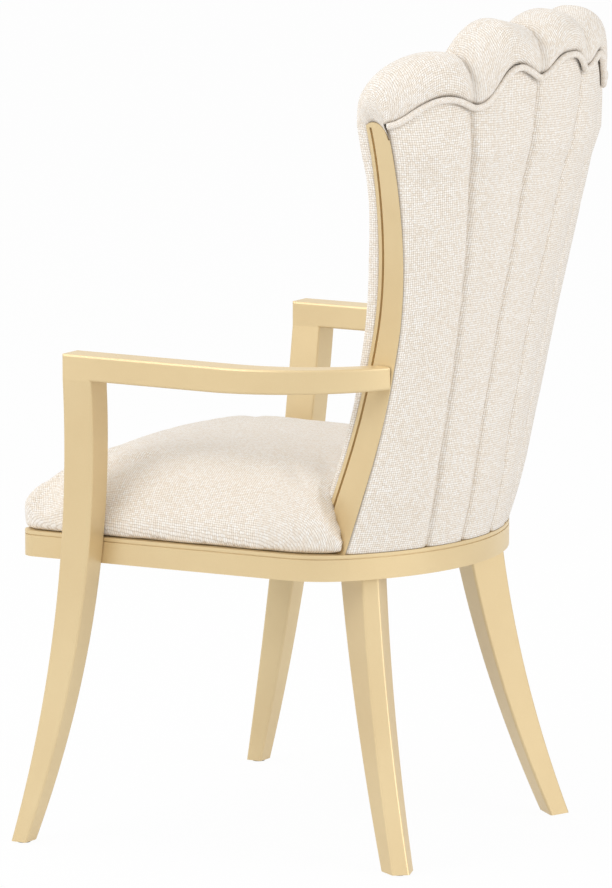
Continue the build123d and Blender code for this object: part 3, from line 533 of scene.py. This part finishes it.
def buildOutsideBack(look):
    channel, across = channelColumns(look["perChannel"])
    top = weltLine(channel, across) + look["rise"]
    endSide = besideStile(channel, across)
    front, back, foldShade = [], [], []
    for share in np.linspace(0, 1, look["rows"]):
        z = look["low"] + (top - look["low"]) * share
        below = top - z
        toSeam = np.minimum(across, 1 - across) * channelWidth(outsidePoint, z, channel)
        seam = np.where(endSide, look["endDepth"], look["seamDepth"] * smoothStep(below / look["seamFade"]))
        out = outsideFull(z, channel, across, below) - seam * bell(toSeam / look["seamWidth"])
        out = out - look["tuck"] * bell(below / look["tuckAt"] - 1)
        front.append(outsidePoint(z, channel, across, out))
        back.append(outsidePoint(z, channel, across, -look["lining"]))
        # Painted shade along the seams, a dark painted shadow line beside the stile, and painted shade just under the
        # cord
        shade = np.where(endSide, look["endShade"], look["seamShade"]) * bell(toSeam / look["foldWidth"])
        foldShade.append(np.maximum(shade, look["rimShade"] * np.exp(-((below / look["rimWidth"]) ** 4))))
    front, back = np.array(front), np.array(back)
    return meshFromGrids("outsideBackCover", front, back, channelMap(front, channel, across), np.array(foldShade))


outsideBackPiece = buildOutsideBack(outsideBack)
outsideBackPiece.data.materials.append(creamCloth)
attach(outsideBackPiece, "root")
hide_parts("outside_back")
print("outside back:", len(outsideBackPiece.data.polygons), "faces")


# Inside back and top roll: one channelled cover that runs up the front and over the top to the welt
insideBack = dict(
    perChannel=26, low=0.425, rowsUp=90, rowsOver=28, rowsDown=34, bulge=0.011, fullness=2.4,
    seamDepth=0.003, seamWidth=0.004, lobeTop=(1.058, 1.096, 1.101, 1.096, 1.058), crownFull=1.58,
    creaseTop=(1.055, 1.055, 1.086, 1.086, 1.055, 1.055), endLow=0.962, crown=0.30, fall=0.89,
    lobeBulge=0.006, squareFront=1.0, squareEnd=0.28, squareRear=0.78, middle=0.024, turnBelow=0.004,
    endFlat=0.3, bulgeReach=1.02, bulgeRound=0.8, tuck=0.006, tuckRun=0.006,
    lining=0.035, liningDraw=0.030, liningRun=0.7, liningRear=0.010,
    crease=0.011, creaseWidth=0.0045, creaseEase=0.8, coreRise=0.02,
    rimLift=0.002, rimGap=0.003, rimOut=0.006, rimDraw=0.0045, rimRun=0.5,
    foldWidth=0.0018, seamShade=0.12, creaseShade=0.25, rimShade=0.6, rimWidth=0.003,
    sideColumns=12, sideGap=0.0006, sideDepth=0.0015, sideBow=0.5, sideSlack=1.15, sideLining=0.004,
    sideFlare=(0.25, 0.35), sideTurnRows=(10, 22), sideShade=0.3, sideFold=0.0015,
)


# Height of the roll's ridge; the end lobes crown near the crease and fall away to the stile
def ridgeHeight(look, channel, across):
    lobe, crease = np.array(look["lobeTop"])[channel], np.array(look["creaseTop"])
    creaseLine = crease[channel] + (crease[channel + 1] - crease[channel]) * across
    ridge = creaseLine + (lobe - creaseLine) * puff(across, look["crownFull"])
    away = towardsStile(channel, across)
    climb = creaseLine + (lobe - creaseLine) * (1 - np.abs(1 - away / look["crown"]) ** look["crownFull"])
    drop = np.sqrt(np.maximum(1 - ((away - look["crown"]) / look["fall"]) ** 2, 0))
    endLobe = np.where(away < look["crown"], climb, look["endLow"] + (lobe - look["endLow"]) * drop)
    return np.where((channel == 0) | (channel == 4), endLobe, ridge)


# Fullness of the front's channels; the end ones stay full round the side
def frontFull(look, channel, across):
    away = towardsStile(channel, across)
    rounded = 1 - np.where(away > 0.5, look["endFlat"], 1.0) * np.abs(2 * away - 1) ** look["fullness"]
    return np.where((channel == 0) | (channel == 4), rounded, puff(across, look["fullness"]))


def buildInsideBack(look):
    channel, across = channelColumns(look["perChannel"])
    weltZ = weltLine(channel, across)
    puffed = puff(across, look["fullness"])
    fullFront = frontFull(look, channel, across)
    endSide = besideStile(channel, across)
    toEnd = np.where(endSide, np.abs(2 * across - 1), 0.0)
    depth = look["lining"] - look["liningDraw"] * smoothStep(toEnd / look["liningRun"])
    crest = np.full(channel.shape, backShape["crest"])
    rollRadius, rollAngle = arcAngles(
        *byStile(crest, 0.0), apexY(crest), (seamX(crest, 0), seamX(crest, 1)), channel, across
    )
    topZ = ridgeHeight(look, channel, across)
    topPoint = onArc(topZ, apexY(crest), rollRadius, rollAngle, -look["middle"])
    turnZ = weltZ - look["turnBelow"]
    front, back, foldShade = [], [], []
    for share in np.linspace(0, 1, look["rowsUp"]):
        z = look["low"] + (turnZ - look["low"]) * share
        toSeam = np.minimum(across, 1 - across) * channelWidth(insidePoint, z, channel)
        toSeam = np.where(endSide, 1.0, toSeam)
        out = -look["bulge"] * fullFront + look["seamDepth"] * bell(toSeam / look["seamWidth"])
        front.append(insidePoint(z, channel, across, out))
        back.append(insidePoint(z, channel, across, depth))
        # Painted shade along the front's seams
        foldShade.append(look["seamShade"] * bell(toSeam / look["foldWidth"]))
    turned, under = front[-1], back[-1]
    crestWidth = np.abs(np.take(seamWidths(crest[0]), channel))
    toCrease = np.where(endSide, 1.0, np.minimum(across, 1 - across) * crestWidth)
    pinch = look["crease"] * bell(toCrease / look["creaseWidth"])
    # Mask of painted shade along the roll's creases
    creaseLine = bell(toCrease / look["foldWidth"])
    core = np.concatenate([topPoint[:, :2], (weltZ + look["coreRise"])[:, None]], 1)

    def creased(level, z, share):
        points = np.concatenate([level, z[:, None]], 1)
        inward = core - points
        inward = inward / np.maximum(np.linalg.norm(inward, axis=1, keepdims=True), 1e-6)
        return points + inward * (pinch * share)[:, None]

    # Up the front of the roll to its ridge
    for step in np.linspace(0, 1, look["rowsOver"] + 1)[1:]:
        square = look["squareFront"] - look["squareEnd"] * smoothStep(toEnd)
        flat = np.cos(step * np.pi / 2) ** square
        rise = np.sin(step * np.pi / 2) ** square
        level = topPoint[:, :2] + (turned[:, :2] - topPoint[:, :2]) * flat[:, None]
        front.append(creased(level, turned[:, 2] + (topZ - turned[:, 2]) * rise, step))
        back.append(under)
        # Painted shade along the creases, deeper towards the ridge
        foldShade.append((look["seamShade"] + look["creaseShade"] * step) * creaseLine)

    # Down its rear to the welt
    weltPoint = outsidePoint(weltZ, channel, across, outsideFull(weltZ, channel, across) + look["rimLift"])
    outwards = weltPoint[:, :2] - topPoint[:, :2]
    outwards = outwards / np.linalg.norm(outwards, axis=1, keepdims=True)
    lowZ = weltZ + look["rimGap"]
    rearEnd = np.concatenate([weltPoint[:, :2] - outwards * look["liningRear"], lowZ[:, None]], 1)
    rimOut = look["rimOut"] - look["rimDraw"] * smoothStep(towardsStile(channel, across) / look["rimRun"])
    for step in np.linspace(0, 1, look["rowsDown"] + 1)[1:]:
        flat = np.sin(step * np.pi / 2) ** look["squareRear"]
        rise = np.cos(step * np.pi / 2) ** look["squareRear"]
        z = lowZ + (topZ - lowZ) * rise
        bulge = np.sin(np.pi * min(1.0, step * look["bulgeReach"])) ** look["bulgeRound"]
        swollen = look["lobeBulge"] * puffed * bulge * step
        tucked = look["tuck"] * np.exp(-(z - lowZ) / look["tuckRun"])
        level = topPoint[:, :2] + (weltPoint[:, :2] - topPoint[:, :2]) * flat
        level = level + outwards * (swollen + rimOut * flat - tucked)[:, None]
        front.append(creased(level, z, 1 - look["creaseEase"] * step))
        back.append(under + (rearEnd - under) * step)
        # Painted shade in the creases, fading down the rear, and painted shade just above the welt
        shade = (look["seamShade"] + look["creaseShade"]) * (1 - step) * creaseLine
        foldShade.append(np.maximum(shade, look["rimShade"] * bell((z - lowZ) / look["rimWidth"])))
    front, back, foldShade = np.array(front), np.array(back), np.array(foldShade)
    mapped = channelMap(front, channel, across)
    for side in (0, -1):
        front, back, mapped, foldShade = addSideStrip(look, front, back, mapped, foldShade, side)
    return meshFromGrids("insideBackCover", front, back, mapped, foldShade)


# Strip round the cover's end, back to the stile's front edge and over the stile's tip
def addSideStrip(look, front, back, mapped, foldShade, side):
    sign = -1.0 if side == 0 else 1.0
    edge, before = front[:, side], front[:, 1 if side == 0 else -2]
    rows, up = front.shape[0], look["rowsUp"]
    gap, depth = look["sideGap"], look["sideDepth"]
    z = np.minimum(edge[:up, 2], backShape["tipFront"])
    groove = np.stack([*byStile(z, -stileWidth(z) - gap, depth), z], -1)
    reach = -backShape["topWidth"] * (1 - np.linspace(0, 1, rows - up + 1)[1:])
    tip = np.polyval(tipCurve, reach)
    target = np.concatenate([groove, np.stack([*byStile(tip, reach, depth), tip + gap], -1)])
    target[:, 0] *= sign
    s, c = math.sin(backShape["turn"]), math.cos(backShape["turn"])
    faceOut, forward = np.array([c * sign, -s, 0.0]), np.array([-s * sign, -c, 0.0])
    early, turning = look["sideTurnRows"]
    onTop = smoothStep((np.arange(rows) - up + early) / turning)[:, None]
    flare, flareTop = look["sideFlare"]
    leave = forward * (1 - onTop) + np.array([0.0, 0.0, 1.0]) * onTop + faceOut * (flare + flareTop * onTop)
    tangent = edge - before
    tangent = tangent / np.linalg.norm(tangent, axis=1, keepdims=True)
    span = np.linalg.norm(target - edge, axis=1, keepdims=True)
    first, second = edge + tangent * span * look["sideBow"], target + leave * span * look["sideBow"]
    inside = back[:, side]
    strips = [[], [], [], []]
    for number in range(1, look["sideColumns"] + 1):
        t = number / look["sideColumns"]
        bow = edge * (1 - t) ** 3 + first * 3 * t * (1 - t) ** 2 + second * 3 * t * t * (1 - t) + target * t**3
        flat = np.stack([mapped[:, side, 0] + sign * span[:, 0] * look["sideSlack"] * t, mapped[:, side, 1]], -1)
        lining = inside + (target - faceOut * look["sideLining"] - inside) * t
        # Painted shade where the strip turns away from the cover's end
        shade = look["sideShade"] * bell((1 - t) * span[:, 0] / look["sideFold"])
        for strip, column in zip(strips, (bow, lining, flat, shade)):
            strip.append(column)
    bodies = front, back, mapped, foldShade
    if side == 0:
        return tuple(np.concatenate([np.stack(strip[::-1], 1), body], 1) for body, strip in zip(bodies, strips))
    return tuple(np.concatenate([body, np.stack(strip, 1)], 1) for body, strip in zip(bodies, strips))


insideBackPiece = buildInsideBack(insideBack)
insideBackPiece.data.materials.append(creamCloth)
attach(insideBackPiece, "root")
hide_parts("inside_back", "top_roll")
print("inside back and roll:", len(insideBackPiece.data.polygons), "faces")


# Seat: a tight pad domed over the frame and drawn in round the stiles, then swollen as cloth
seatPad = dict(
    frontY=-0.3415, frontHalf=0.2610, rearHalf=0.237, rearAt=0.1008, cornerRadius=0.022, bendRadius=0.1075,
    bowRadius=0.3075, bowCentre=-0.096, crown=0.105, base=0.014, roll=0.055, rollRun=0.06, rollRound=2.0,
    sideRun=0.20, frontRun=0.12, domeRound=1.9, blend=0.006, underTuck=0.0035, leanFrom=-0.05, leanRun=0.12,
    earReach=-0.001, earY=0.127, earRise=0.008, earSlope=1.1, stileGap=0.0015, backGap=0.016,
    columns=300, topRows=48, rowCrowd=2.2, wallRows=8, underRows=10, centre=(0.0, -0.08), floor=0.4083,
    tuckDepth=0.012, tuckWidth=0.007, tuckRound=1.3, voxel=0.0053, softRounds=2, softShare=0.5,
    pressure=4.0, mass=0.3, tension=18.0, shear=8.0, bending=2.0, frames=20, cap=0.007, pinWidth=0.010, pinRise=0.006,
    flatHalf=0.15, flatFront=-0.20, flatRear=0.02, wrap=0.8, wrapRun=0.05,
)


def looseCopy(name, node):
    mesh = cadNodes[node].data.copy()
    mesh.materials.clear()
    shape = bmesh.new()
    shape.from_mesh(mesh)
    bmesh.ops.remove_doubles(shape, verts=shape.verts, dist=1e-5)
    shape.to_mesh(mesh)
    shape.free()
    return addObject(name, mesh)


def applied(piece):
    depsgraph = bpy.context.evaluated_depsgraph_get()
    mesh = bpy.data.meshes.new_from_object(piece.evaluated_get(depsgraph))
    old = piece.data
    piece.modifiers.clear()
    piece.data = mesh
    bpy.data.meshes.remove(old)
    return piece


def places(mesh):
    co = np.zeros(len(mesh.vertices) * 3, np.float32)
    mesh.vertices.foreach_get("co", co)
    return co.reshape(-1, 3).astype(float)


def setPlaces(mesh, co):
    mesh.vertices.foreach_set("co", co.astype(np.float32).ravel())
    mesh.update()


def smoothed(piece, look):
    modifier = piece.modifiers.new("soften", "SMOOTH")
    modifier.iterations = look["softRounds"]
    modifier.factor = look["softShare"]
    return applied(piece)


def sideSlope(look):
    return (look["frontHalf"] - look["rearHalf"]) / (look["rearAt"] - look["frontY"])


# Half of the frame's outline from the front's middle round to the rear's middle
def frameLine(look):
    slope = sideSlope(look)
    corner, bend = look["cornerRadius"], look["bendRadius"]
    lean = math.atan(slope)
    turn = np.linspace(-math.pi / 2, lean, 24)
    cornerX = look["frontHalf"] - corner
    line = [(x, look["frontY"]) for x in np.linspace(0, cornerX, 90)[:-1]]
    line += [(cornerX + corner * math.cos(a), look["frontY"] + corner + corner * math.sin(a)) for a in turn]
    bendY = 0.0545  # a first guess, settled below
    for _ in range(30):
        bendX = look["frontHalf"] - slope * (bendY - look["frontY"]) - bend / math.cos(lean)
        bendY = look["bowCentre"] + math.sqrt((look["bowRadius"] - bend) ** 2 - bendX**2)
    start = np.array(line[-1])
    end = np.array((bendX + bend * math.cos(lean), bendY + bend * math.sin(lean)))
    line += [tuple(start + (end - start) * share) for share in np.linspace(0, 1, 150)[1:-1]]
    last = math.atan2(bendY - look["bowCentre"], bendX)
    line += [(bendX + bend * math.cos(a), bendY + bend * math.sin(a)) for a in np.linspace(lean, last, 60)]
    line += [(look["bowRadius"] * math.cos(a), look["bowCentre"] + look["bowRadius"] * math.sin(a))
             for a in np.linspace(last, math.pi / 2, 110)[1:]]
    return np.array(line)


def evenly(loop, count):
    closed = np.concatenate([loop, loop[:1]])
    run = np.concatenate([[0], np.cumsum(np.linalg.norm(np.diff(closed, axis=0), axis=1))])
    marks = np.linspace(0, run[-1], count, endpoint=False)
    return np.stack([np.interp(marks, run, closed[:, axis]) for axis in range(closed.shape[1])], -1)


def farFrom(points, line):
    return np.array([np.linalg.norm(line - point, axis=1).min() for point in points])


# The pad's own edge: along the frame to the ear behind the stile's foot, round the stile, along the inside back
def seatEdge(look, outline):
    level = np.array(backShape["railTop"])
    gap = look["stileGap"]
    ear = np.array(byStile(level, look["earReach"], -gap))
    beside = np.array(byStile(level, -stileWidth(level) - gap, -gap))
    steps = np.linspace(0, 1, 14)[1:-1]
    along = [ear + (beside - ear) * share for share in steps]
    channel, across = channelColumns(20)
    rear = insidePoint(np.full(across.shape, float(level)), channel, across, -look["backGap"])[:, :2]
    rear = rear[rear[:, 0] >= -1e-9][::-1]
    atFrame = outline[outline[:, 1] < look["earY"]]
    held = np.concatenate([np.zeros(len(atFrame)), np.ones(1 + len(along) + 1 + len(rear))])
    half = np.concatenate([atFrame, [ear], along, [beside], rear])
    return np.concatenate([half, held[:, None]], 1), ear


def leanShare(look, y):
    return smoothStep((y - look["leanFrom"]) / look["leanRun"])


def leanBack(look, points):
    leaned = points.copy()
    leaned[:, 1] += lineRear(points[:, 2]) * leanShare(look, points[:, 1])
    return leaned


def buildSeat(look):
    outline = frameLine(look)
    half, ear = seatEdge(look, outline)
    edge = evenly(np.concatenate([half, (half * (-1, 1, 1))[-2:0:-1]]), look["columns"])
    for _ in range(3):
        edge = (np.roll(edge, 1, 0) + edge * 2 + np.roll(edge, -1, 0)) / 4
    edge, held = edge[:, :2], edge[:, 2]
    around = np.concatenate([outline, outline * (-1, 1)])
    ears = ear, ear * (-1, 1)
    centre = np.array(look["centre"])
    slope = sideSlope(look)

    def risen(share, roundness):
        share = np.clip(share, 0, 1)
        return np.maximum((1 - (1 - share) ** roundness) ** (1 / roundness), 1e-3)

    def topHeight(plan):
        beside = look["frontHalf"] - slope * (plan[:, 1] - look["frontY"]) - np.abs(plan[:, 0])
        behind = look["bowRadius"] - np.hypot(plan[:, 0], plan[:, 1] - look["bowCentre"])
        beside, behind = np.maximum(beside, 1e-4), np.maximum(behind, 1e-4)
        sideAway = (beside**-6 + behind**-6) ** (-1 / 6)
        dome = risen(sideAway / look["sideRun"], look["domeRound"])
        dome = dome * risen((plan[:, 1] - look["frontY"]) / look["frontRun"], look["domeRound"])
        dome = look["base"] + (look["crown"] - look["base"] - look["roll"]) * dome
        dome = dome + look["roll"] * risen(farFrom(plan, around) / look["rollRun"], look["rollRound"])
        toEar = np.minimum(*(np.linalg.norm(plan - point, axis=1) for point in ears))
        drawn = look["earRise"] + look["earSlope"] * toEar
        blend = look["blend"]
        return -blend * np.log(np.exp(-dome / blend) + np.exp(-drawn / blend))

    inward = centre - edge
    inward = inward / np.linalg.norm(inward, axis=1, keepdims=True)
    layers = []
    under = edge + inward * look["underTuck"]
    for share in np.linspace(0, 1, look["underRows"] + 1)[1:]:
        layers.append(np.concatenate([centre + (under - centre) * share, np.zeros((len(edge), 1))], 1))
    rim = topHeight(edge) - look["tuckDepth"] * held
    for share in np.linspace(0, 1, look["wallRows"] + 1)[1:]:
        plan = under + (edge - under) * math.sin(share * math.pi / 2)
        layers.append(np.concatenate([plan, (rim * share)[:, None]], 1))
    for share in (np.arange(1, look["topRows"]) / look["topRows"]) ** look["rowCrowd"]:
        plan = edge + (centre - edge) * share
        gone = np.linalg.norm(plan - edge, axis=1)
        z = topHeight(plan) - look["tuckDepth"] * held * np.exp(-((gone / look["tuckWidth"]) ** look["tuckRound"]))
        layers.append(np.concatenate([plan, z[:, None]], 1))
    count, size = len(layers), len(edge)
    points = np.concatenate(layers + [[(*centre, 0.0)], [(*centre, float(topHeight(centre[None])[0]))]])
    points[:, 2] += look["floor"]
    points = leanBack(look, points)
    index = np.arange(count * size).reshape(count, size)
    after = np.roll(index, -1, 1)
    faces = np.stack([index[:-1], after[:-1], after[1:], index[1:]], -1).reshape(-1, 4).tolist()
    faces += [(count * size, after[0, i], index[0, i]) for i in range(size)]
    faces += [(count * size + 1, index[-1, i], after[-1, i]) for i in range(size)]
    mesh = bpy.data.meshes.new("seatCover")
    mesh.from_pydata(points.tolist(), [], [[int(i) for i in face] for face in faces])
    piece = finishedPiece("seatCover", mesh)
    remesh = piece.modifiers.new("voxels", "REMESH")
    remesh.mode = "VOXEL"
    remesh.voxel_size = look["voxel"]
    applied(piece)
    smoothed(piece, look)
    swell(piece, look, edge[held > 0.5])
    co = places(piece.data)
    co[:, 2] = np.maximum(co[:, 2], look["floor"])
    setPlaces(piece.data, co)
    return piece


# Cloth under a little pressure, held along its base and where it tucks in behind
def swell(piece, look, tucked):
    start = places(piece.data)
    flat = start[:, :2].copy()
    for _ in range(12):
        flat[:, 1] = start[:, 1] - lineRear(start[:, 2]) * leanShare(look, flat[:, 1])
    near = 1 - smoothStep(farFrom(flat, tucked) / look["pinWidth"] - 0.5)
    low = 1 - smoothStep((start[:, 2] - look["floor"]) / look["pinRise"] - 0.5)
    hold = np.maximum(near, low)
    group = piece.vertex_groups.new(name="tucked")
    for number in np.where(hold > 0.01)[0]:
        group.add([int(number)], float(hold[number]), "REPLACE")
    cloth = piece.modifiers.new("swell", "CLOTH")
    settings = cloth.settings
    settings.quality = 4
    settings.mass = look["mass"]
    settings.tension_stiffness = settings.compression_stiffness = look["tension"]
    settings.shear_stiffness = look["shear"]
    settings.bending_stiffness = look["bending"]
    settings.vertex_group_mass = "tucked"
    settings.use_pressure = True
    settings.uniform_pressure_force = look["pressure"]
    settings.effector_weights.gravity = 0.0
    cloth.collision_settings.use_collision = False
    cloth.point_cache.frame_start, cloth.point_cache.frame_end = 1, look["frames"]
    for number in range(1, look["frames"] + 1):
        scene.frame_set(number)
    applied(piece)
    scene.frame_set(1)
    move = places(piece.data) - start
    far = np.linalg.norm(move, axis=1)
    print("seat swell, mm:", [round(float(v) * 1000, 1) for v in np.percentile(far, (50, 90, 100))])
    move *= (look["cap"] * np.tanh(far / look["cap"]) / np.maximum(far, 1e-9))[:, None]
    setPlaces(piece.data, start + move)
    piece.vertex_groups.clear()
    smoothed(piece, look)


def seatMap(piece, look):
    mesh = piece.data
    co = places(mesh)
    near = np.stack([
        np.clip(co[:, 0], -look["flatHalf"], look["flatHalf"]),
        np.clip(co[:, 1], look["flatFront"], look["flatRear"]),
    ], -1)
    away = co[:, :2] - near
    far = np.linalg.norm(away, axis=1, keepdims=True)
    drop = np.maximum(co[:, 2].max() - co[:, 2], 0)[:, None]
    wrapped = drop * look["wrap"] * np.minimum(far / look["wrapRun"], 1)
    writeClothMap(mesh, co[:, :2] + away / np.maximum(far, 1e-6) * wrapped)


seatPiece = buildSeat(seatPad)
smoothing = seatPiece.modifiers.new("fine", "SUBSURF")
smoothing.levels = smoothing.render_levels = 1
applied(seatPiece)
seatMap(seatPiece, seatPad)
seatPiece.data.shade_smooth()
seatPiece.data.materials.append(creamCloth)
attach(seatPiece, "root")
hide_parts("seat_pad")
print("seat:", len(seatPiece.data.polygons), "faces")


# Welt: a covered cord along the scalloped line, swept by geometry nodes
weltCord = dict(
    radius=0.0042, out=0.0048, sink=0.95, sinkFrom=0.15, sinkRun=0.35, perChannel=10, sides=12, step=0.004,
)


def sweepTree():
    tree = bpy.data.node_groups.new("coveredCord", "GeometryNodeTree")
    tree.interface.new_socket(name="Geometry", in_out="INPUT", socket_type="NodeSocketGeometry")
    sockets = {}
    for label, kind in (("Radius", "NodeSocketFloat"), ("Step", "NodeSocketFloat"), ("Sides", "NodeSocketInt"),
                        ("Cloth", "NodeSocketMaterial")):
        sockets[label] = tree.interface.new_socket(name=label, in_out="INPUT", socket_type=kind).identifier
    tree.interface.new_socket(name="Geometry", in_out="OUTPUT", socket_type="NodeSocketGeometry")
    given, out = tree.nodes.new("NodeGroupInput"), tree.nodes.new("NodeGroupOutput")
    spaced = addNode(tree, "GeometryNodeResampleCurve",
                     {"Curve": given.outputs[0], "Length": given.outputs["Step"]}, mode="LENGTH")
    ring = addNode(tree, "GeometryNodeCurvePrimitiveCircle",
                   {"Resolution": given.outputs["Sides"], "Radius": given.outputs["Radius"]})
    along = addNode(tree, "GeometryNodeStoreNamedAttribute",
                    {"Geometry": spaced.outputs[0], "Name": "along"}, data_type="FLOAT", domain="POINT")
    length = addNode(tree, "GeometryNodeSplineParameter")
    tree.links.new(length.outputs["Length"], along.inputs["Value"])
    around = addNode(tree, "GeometryNodeStoreNamedAttribute",
                     {"Geometry": ring.outputs[0], "Name": "around"}, data_type="FLOAT", domain="POINT")
    turnLength = addNode(tree, "GeometryNodeSplineParameter")
    tree.links.new(turnLength.outputs["Length"], around.inputs["Value"])
    swept = addNode(tree, "GeometryNodeCurveToMesh",
                    {"Curve": along.outputs[0], "Profile Curve": around.outputs[0], "Fill Caps": True})
    smooth = addNode(tree, "GeometryNodeSetShadeSmooth", {"Geometry": swept.outputs[0]})
    real = addNode(tree, "GeometryNodeRealizeInstances", {"Geometry": smooth.outputs[0]})
    dressed = addNode(tree, "GeometryNodeSetMaterial",
                      {"Geometry": real.outputs[0], "Material": given.outputs["Cloth"]})
    tree.links.new(dressed.outputs[0], out.inputs[0])
    return tree, sockets


def nurbsLine(name, points):
    curve = bpy.data.curves.new(name, "CURVE")
    curve.dimensions = "3D"
    curve.resolution_u = 8
    spline = curve.splines.new("NURBS")
    spline.points.add(len(points) - 1)
    for point, place in zip(spline.points, points):
        point.co = (*place, 1.0)
    spline.order_u = 3
    spline.use_endpoint_u = True
    return addObject(name, curve)


coveredCord, cordSockets = sweepTree()


def sweptCord(name, points, look, cloth):
    line = nurbsLine(name + "Line", points)
    modifier = line.modifiers.new("sweep", "NODES")
    modifier.node_group = coveredCord
    for label in ("Radius", "Step", "Sides"):
        modifier[cordSockets[label]] = look[label.lower()]
    modifier[cordSockets["Cloth"]] = cloth
    depsgraph = bpy.context.evaluated_depsgraph_get()
    mesh = bpy.data.meshes.new_from_object(line.evaluated_get(depsgraph))
    bpy.data.objects.remove(line)
    cordMap(mesh)
    return addObject(name, mesh)


def cordMap(mesh):
    size = len(mesh.vertices)
    along, around = np.zeros(size, np.float32), np.zeros(size, np.float32)
    mesh.attributes["along"].data.foreach_get("value", along)
    mesh.attributes["around"].data.foreach_get("value", around)
    writeClothMap(mesh, np.stack([along + around, along - around], -1) * 0.7071)  # cut on the bias


def weltPoints(look):
    channel, across = channelColumns(look["perChannel"])
    z = weltLine(channel, across)
    away = (towardsStile(channel, across) - look["sinkFrom"]) / look["sinkRun"]
    proud = look["out"] * (1 - look["sink"] * smoothStep(away))
    return outsidePoint(z, channel, across, outsideFull(z, channel, across) + proud)


weltPiece = sweptCord("weltCord", weltPoints(weltCord).tolist(), weltCord, weltCloth)
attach(weltPiece, "root")
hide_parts("welt")
print("welt:", len(weltPiece.data.polygons), "faces")


# Dust cover under the frame: thin black cloth, stretched, with a slight sag
dustCover = dict(sag=0.004, rounds=5, longest=0.03, flatAngle=0.02)


def buildDustCover(look):
    piece = looseCopy("dustCoverCloth", "dust_cover")
    shape = bmesh.new()
    shape.from_mesh(piece.data)
    bmesh.ops.dissolve_limit(shape, angle_limit=look["flatAngle"], verts=shape.verts, edges=shape.edges)
    bmesh.ops.triangulate(shape, faces=shape.faces)
    for _ in range(look["rounds"]):
        tooLong = [edge for edge in shape.edges if edge.calc_length() > look["longest"]]
        bmesh.ops.subdivide_edges(shape, edges=tooLong, cuts=1, use_grid_fill=False)
        bmesh.ops.triangulate(shape, faces=shape.faces)
        bmesh.ops.beautify_fill(shape, faces=shape.faces, edges=shape.edges)
    shape.to_mesh(piece.data)
    shape.free()
    low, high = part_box("dust_cover")
    co = places(piece.data)
    shareX = (co[:, 0] - low.x) / (high.x - low.x) * 2 - 1
    shareY = (co[:, 1] - low.y) / (high.y - low.y) * 2 - 1
    hang = np.clip(1 - shareX**2, 0, 1) * np.clip(1 - shareY**2, 0, 1)
    co[:, 2] -= look["sag"] * hang
    setPlaces(piece.data, co)
    writeClothMap(piece.data, co[:, :2])
    return piece


dustPiece = buildDustCover(dustCover)
dustPiece.data.materials.append(dustCloth)
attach(dustPiece, "root")
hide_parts("dust_cover")
print("dust cover:", len(dustPiece.data.polygons), "faces")


# Plain white studio: a floor that keeps a soft shadow, broad lamps and an even sky
studio = dict(
    floorHalf=30.0, floorWhite=0.965, floorTone=(0.82, 0.82, 0.82, 1.0), sky=0.65,
    lamps=dict(
        keyLamp=dict(place=(4.2, -1.6, 3.2), target=(0, 0, 0.6), width=2.4, power=90.0),
        fillLamp=dict(place=(0.2, 5.0, 2.1), target=(0, 0, 0.6), width=3.0, power=94.0),
        topLamp=dict(place=(0.5, -2.2, 3.7), target=(0, 0, 0.5), width=3.0, power=46.0),
    ),
)


# 1 where the camera sees the backdrop itself, in a reflection or through the object, 0 where it only lights
def seenDirectly(tree):
    path = addNode(tree, "ShaderNodeLightPath").outputs
    direct = mathNode(tree, "MAXIMUM", path["Is Camera Ray"], path["Is Glossy Ray"])
    return mathNode(tree, "MAXIMUM", direct, path["Is Transmission Ray"])


def buildFloor(look):
    half = look["floorHalf"]
    mesh = bpy.data.meshes.new("studioFloor")
    mesh.from_pydata([(-half, -half, 0), (half, -half, 0), (half, half, 0), (-half, half, 0)], [], [(0, 1, 2, 3)])
    floor = addObject("studioFloor", mesh)
    material, tree, shader = newMaterial("paleFloor")
    shader.inputs["Base Color"].default_value = look["floorTone"]
    shader.inputs["Roughness"].default_value = 0.9
    glow = addNode(tree, "ShaderNodeEmission", {"Strength": 1.0})
    seen = mathNode(tree, "MULTIPLY", seenDirectly(tree), look["floorWhite"])
    mixed = addNode(tree, "ShaderNodeMixShader", {0: seen, 1: shader.outputs[0], 2: glow.outputs[0]})
    tree.links.new(mixed.outputs[0], tree.nodes["Material Output"].inputs["Surface"])
    mesh.materials.append(material)


def buildSky(look):
    world = bpy.data.worlds.new("studioSky")
    scene.world = world
    world.use_nodes = True
    tree = world.node_tree
    tree.nodes.clear()
    strength = stretch(tree, seenDirectly(tree), 0.0, 1.0, look["sky"], 1.0)
    sky = addNode(tree, "ShaderNodeBackground", {"Color": (1.0, 1.0, 1.0, 1.0), "Strength": strength})
    addNode(tree, "ShaderNodeOutputWorld", {"Surface": sky.outputs[0]})


def addLamp(name, look):
    data = bpy.data.lights.new(name, "AREA")
    data.shape = "RECTANGLE"
    data.size = data.size_y = look["width"]
    data.energy = look["power"]
    aimed(addObject(name, data), look["place"], look["target"])


buildFloor(studio)
buildSky(studio)
for name, look in studio["lamps"].items():
    addLamp(name, look)
print("studio set")
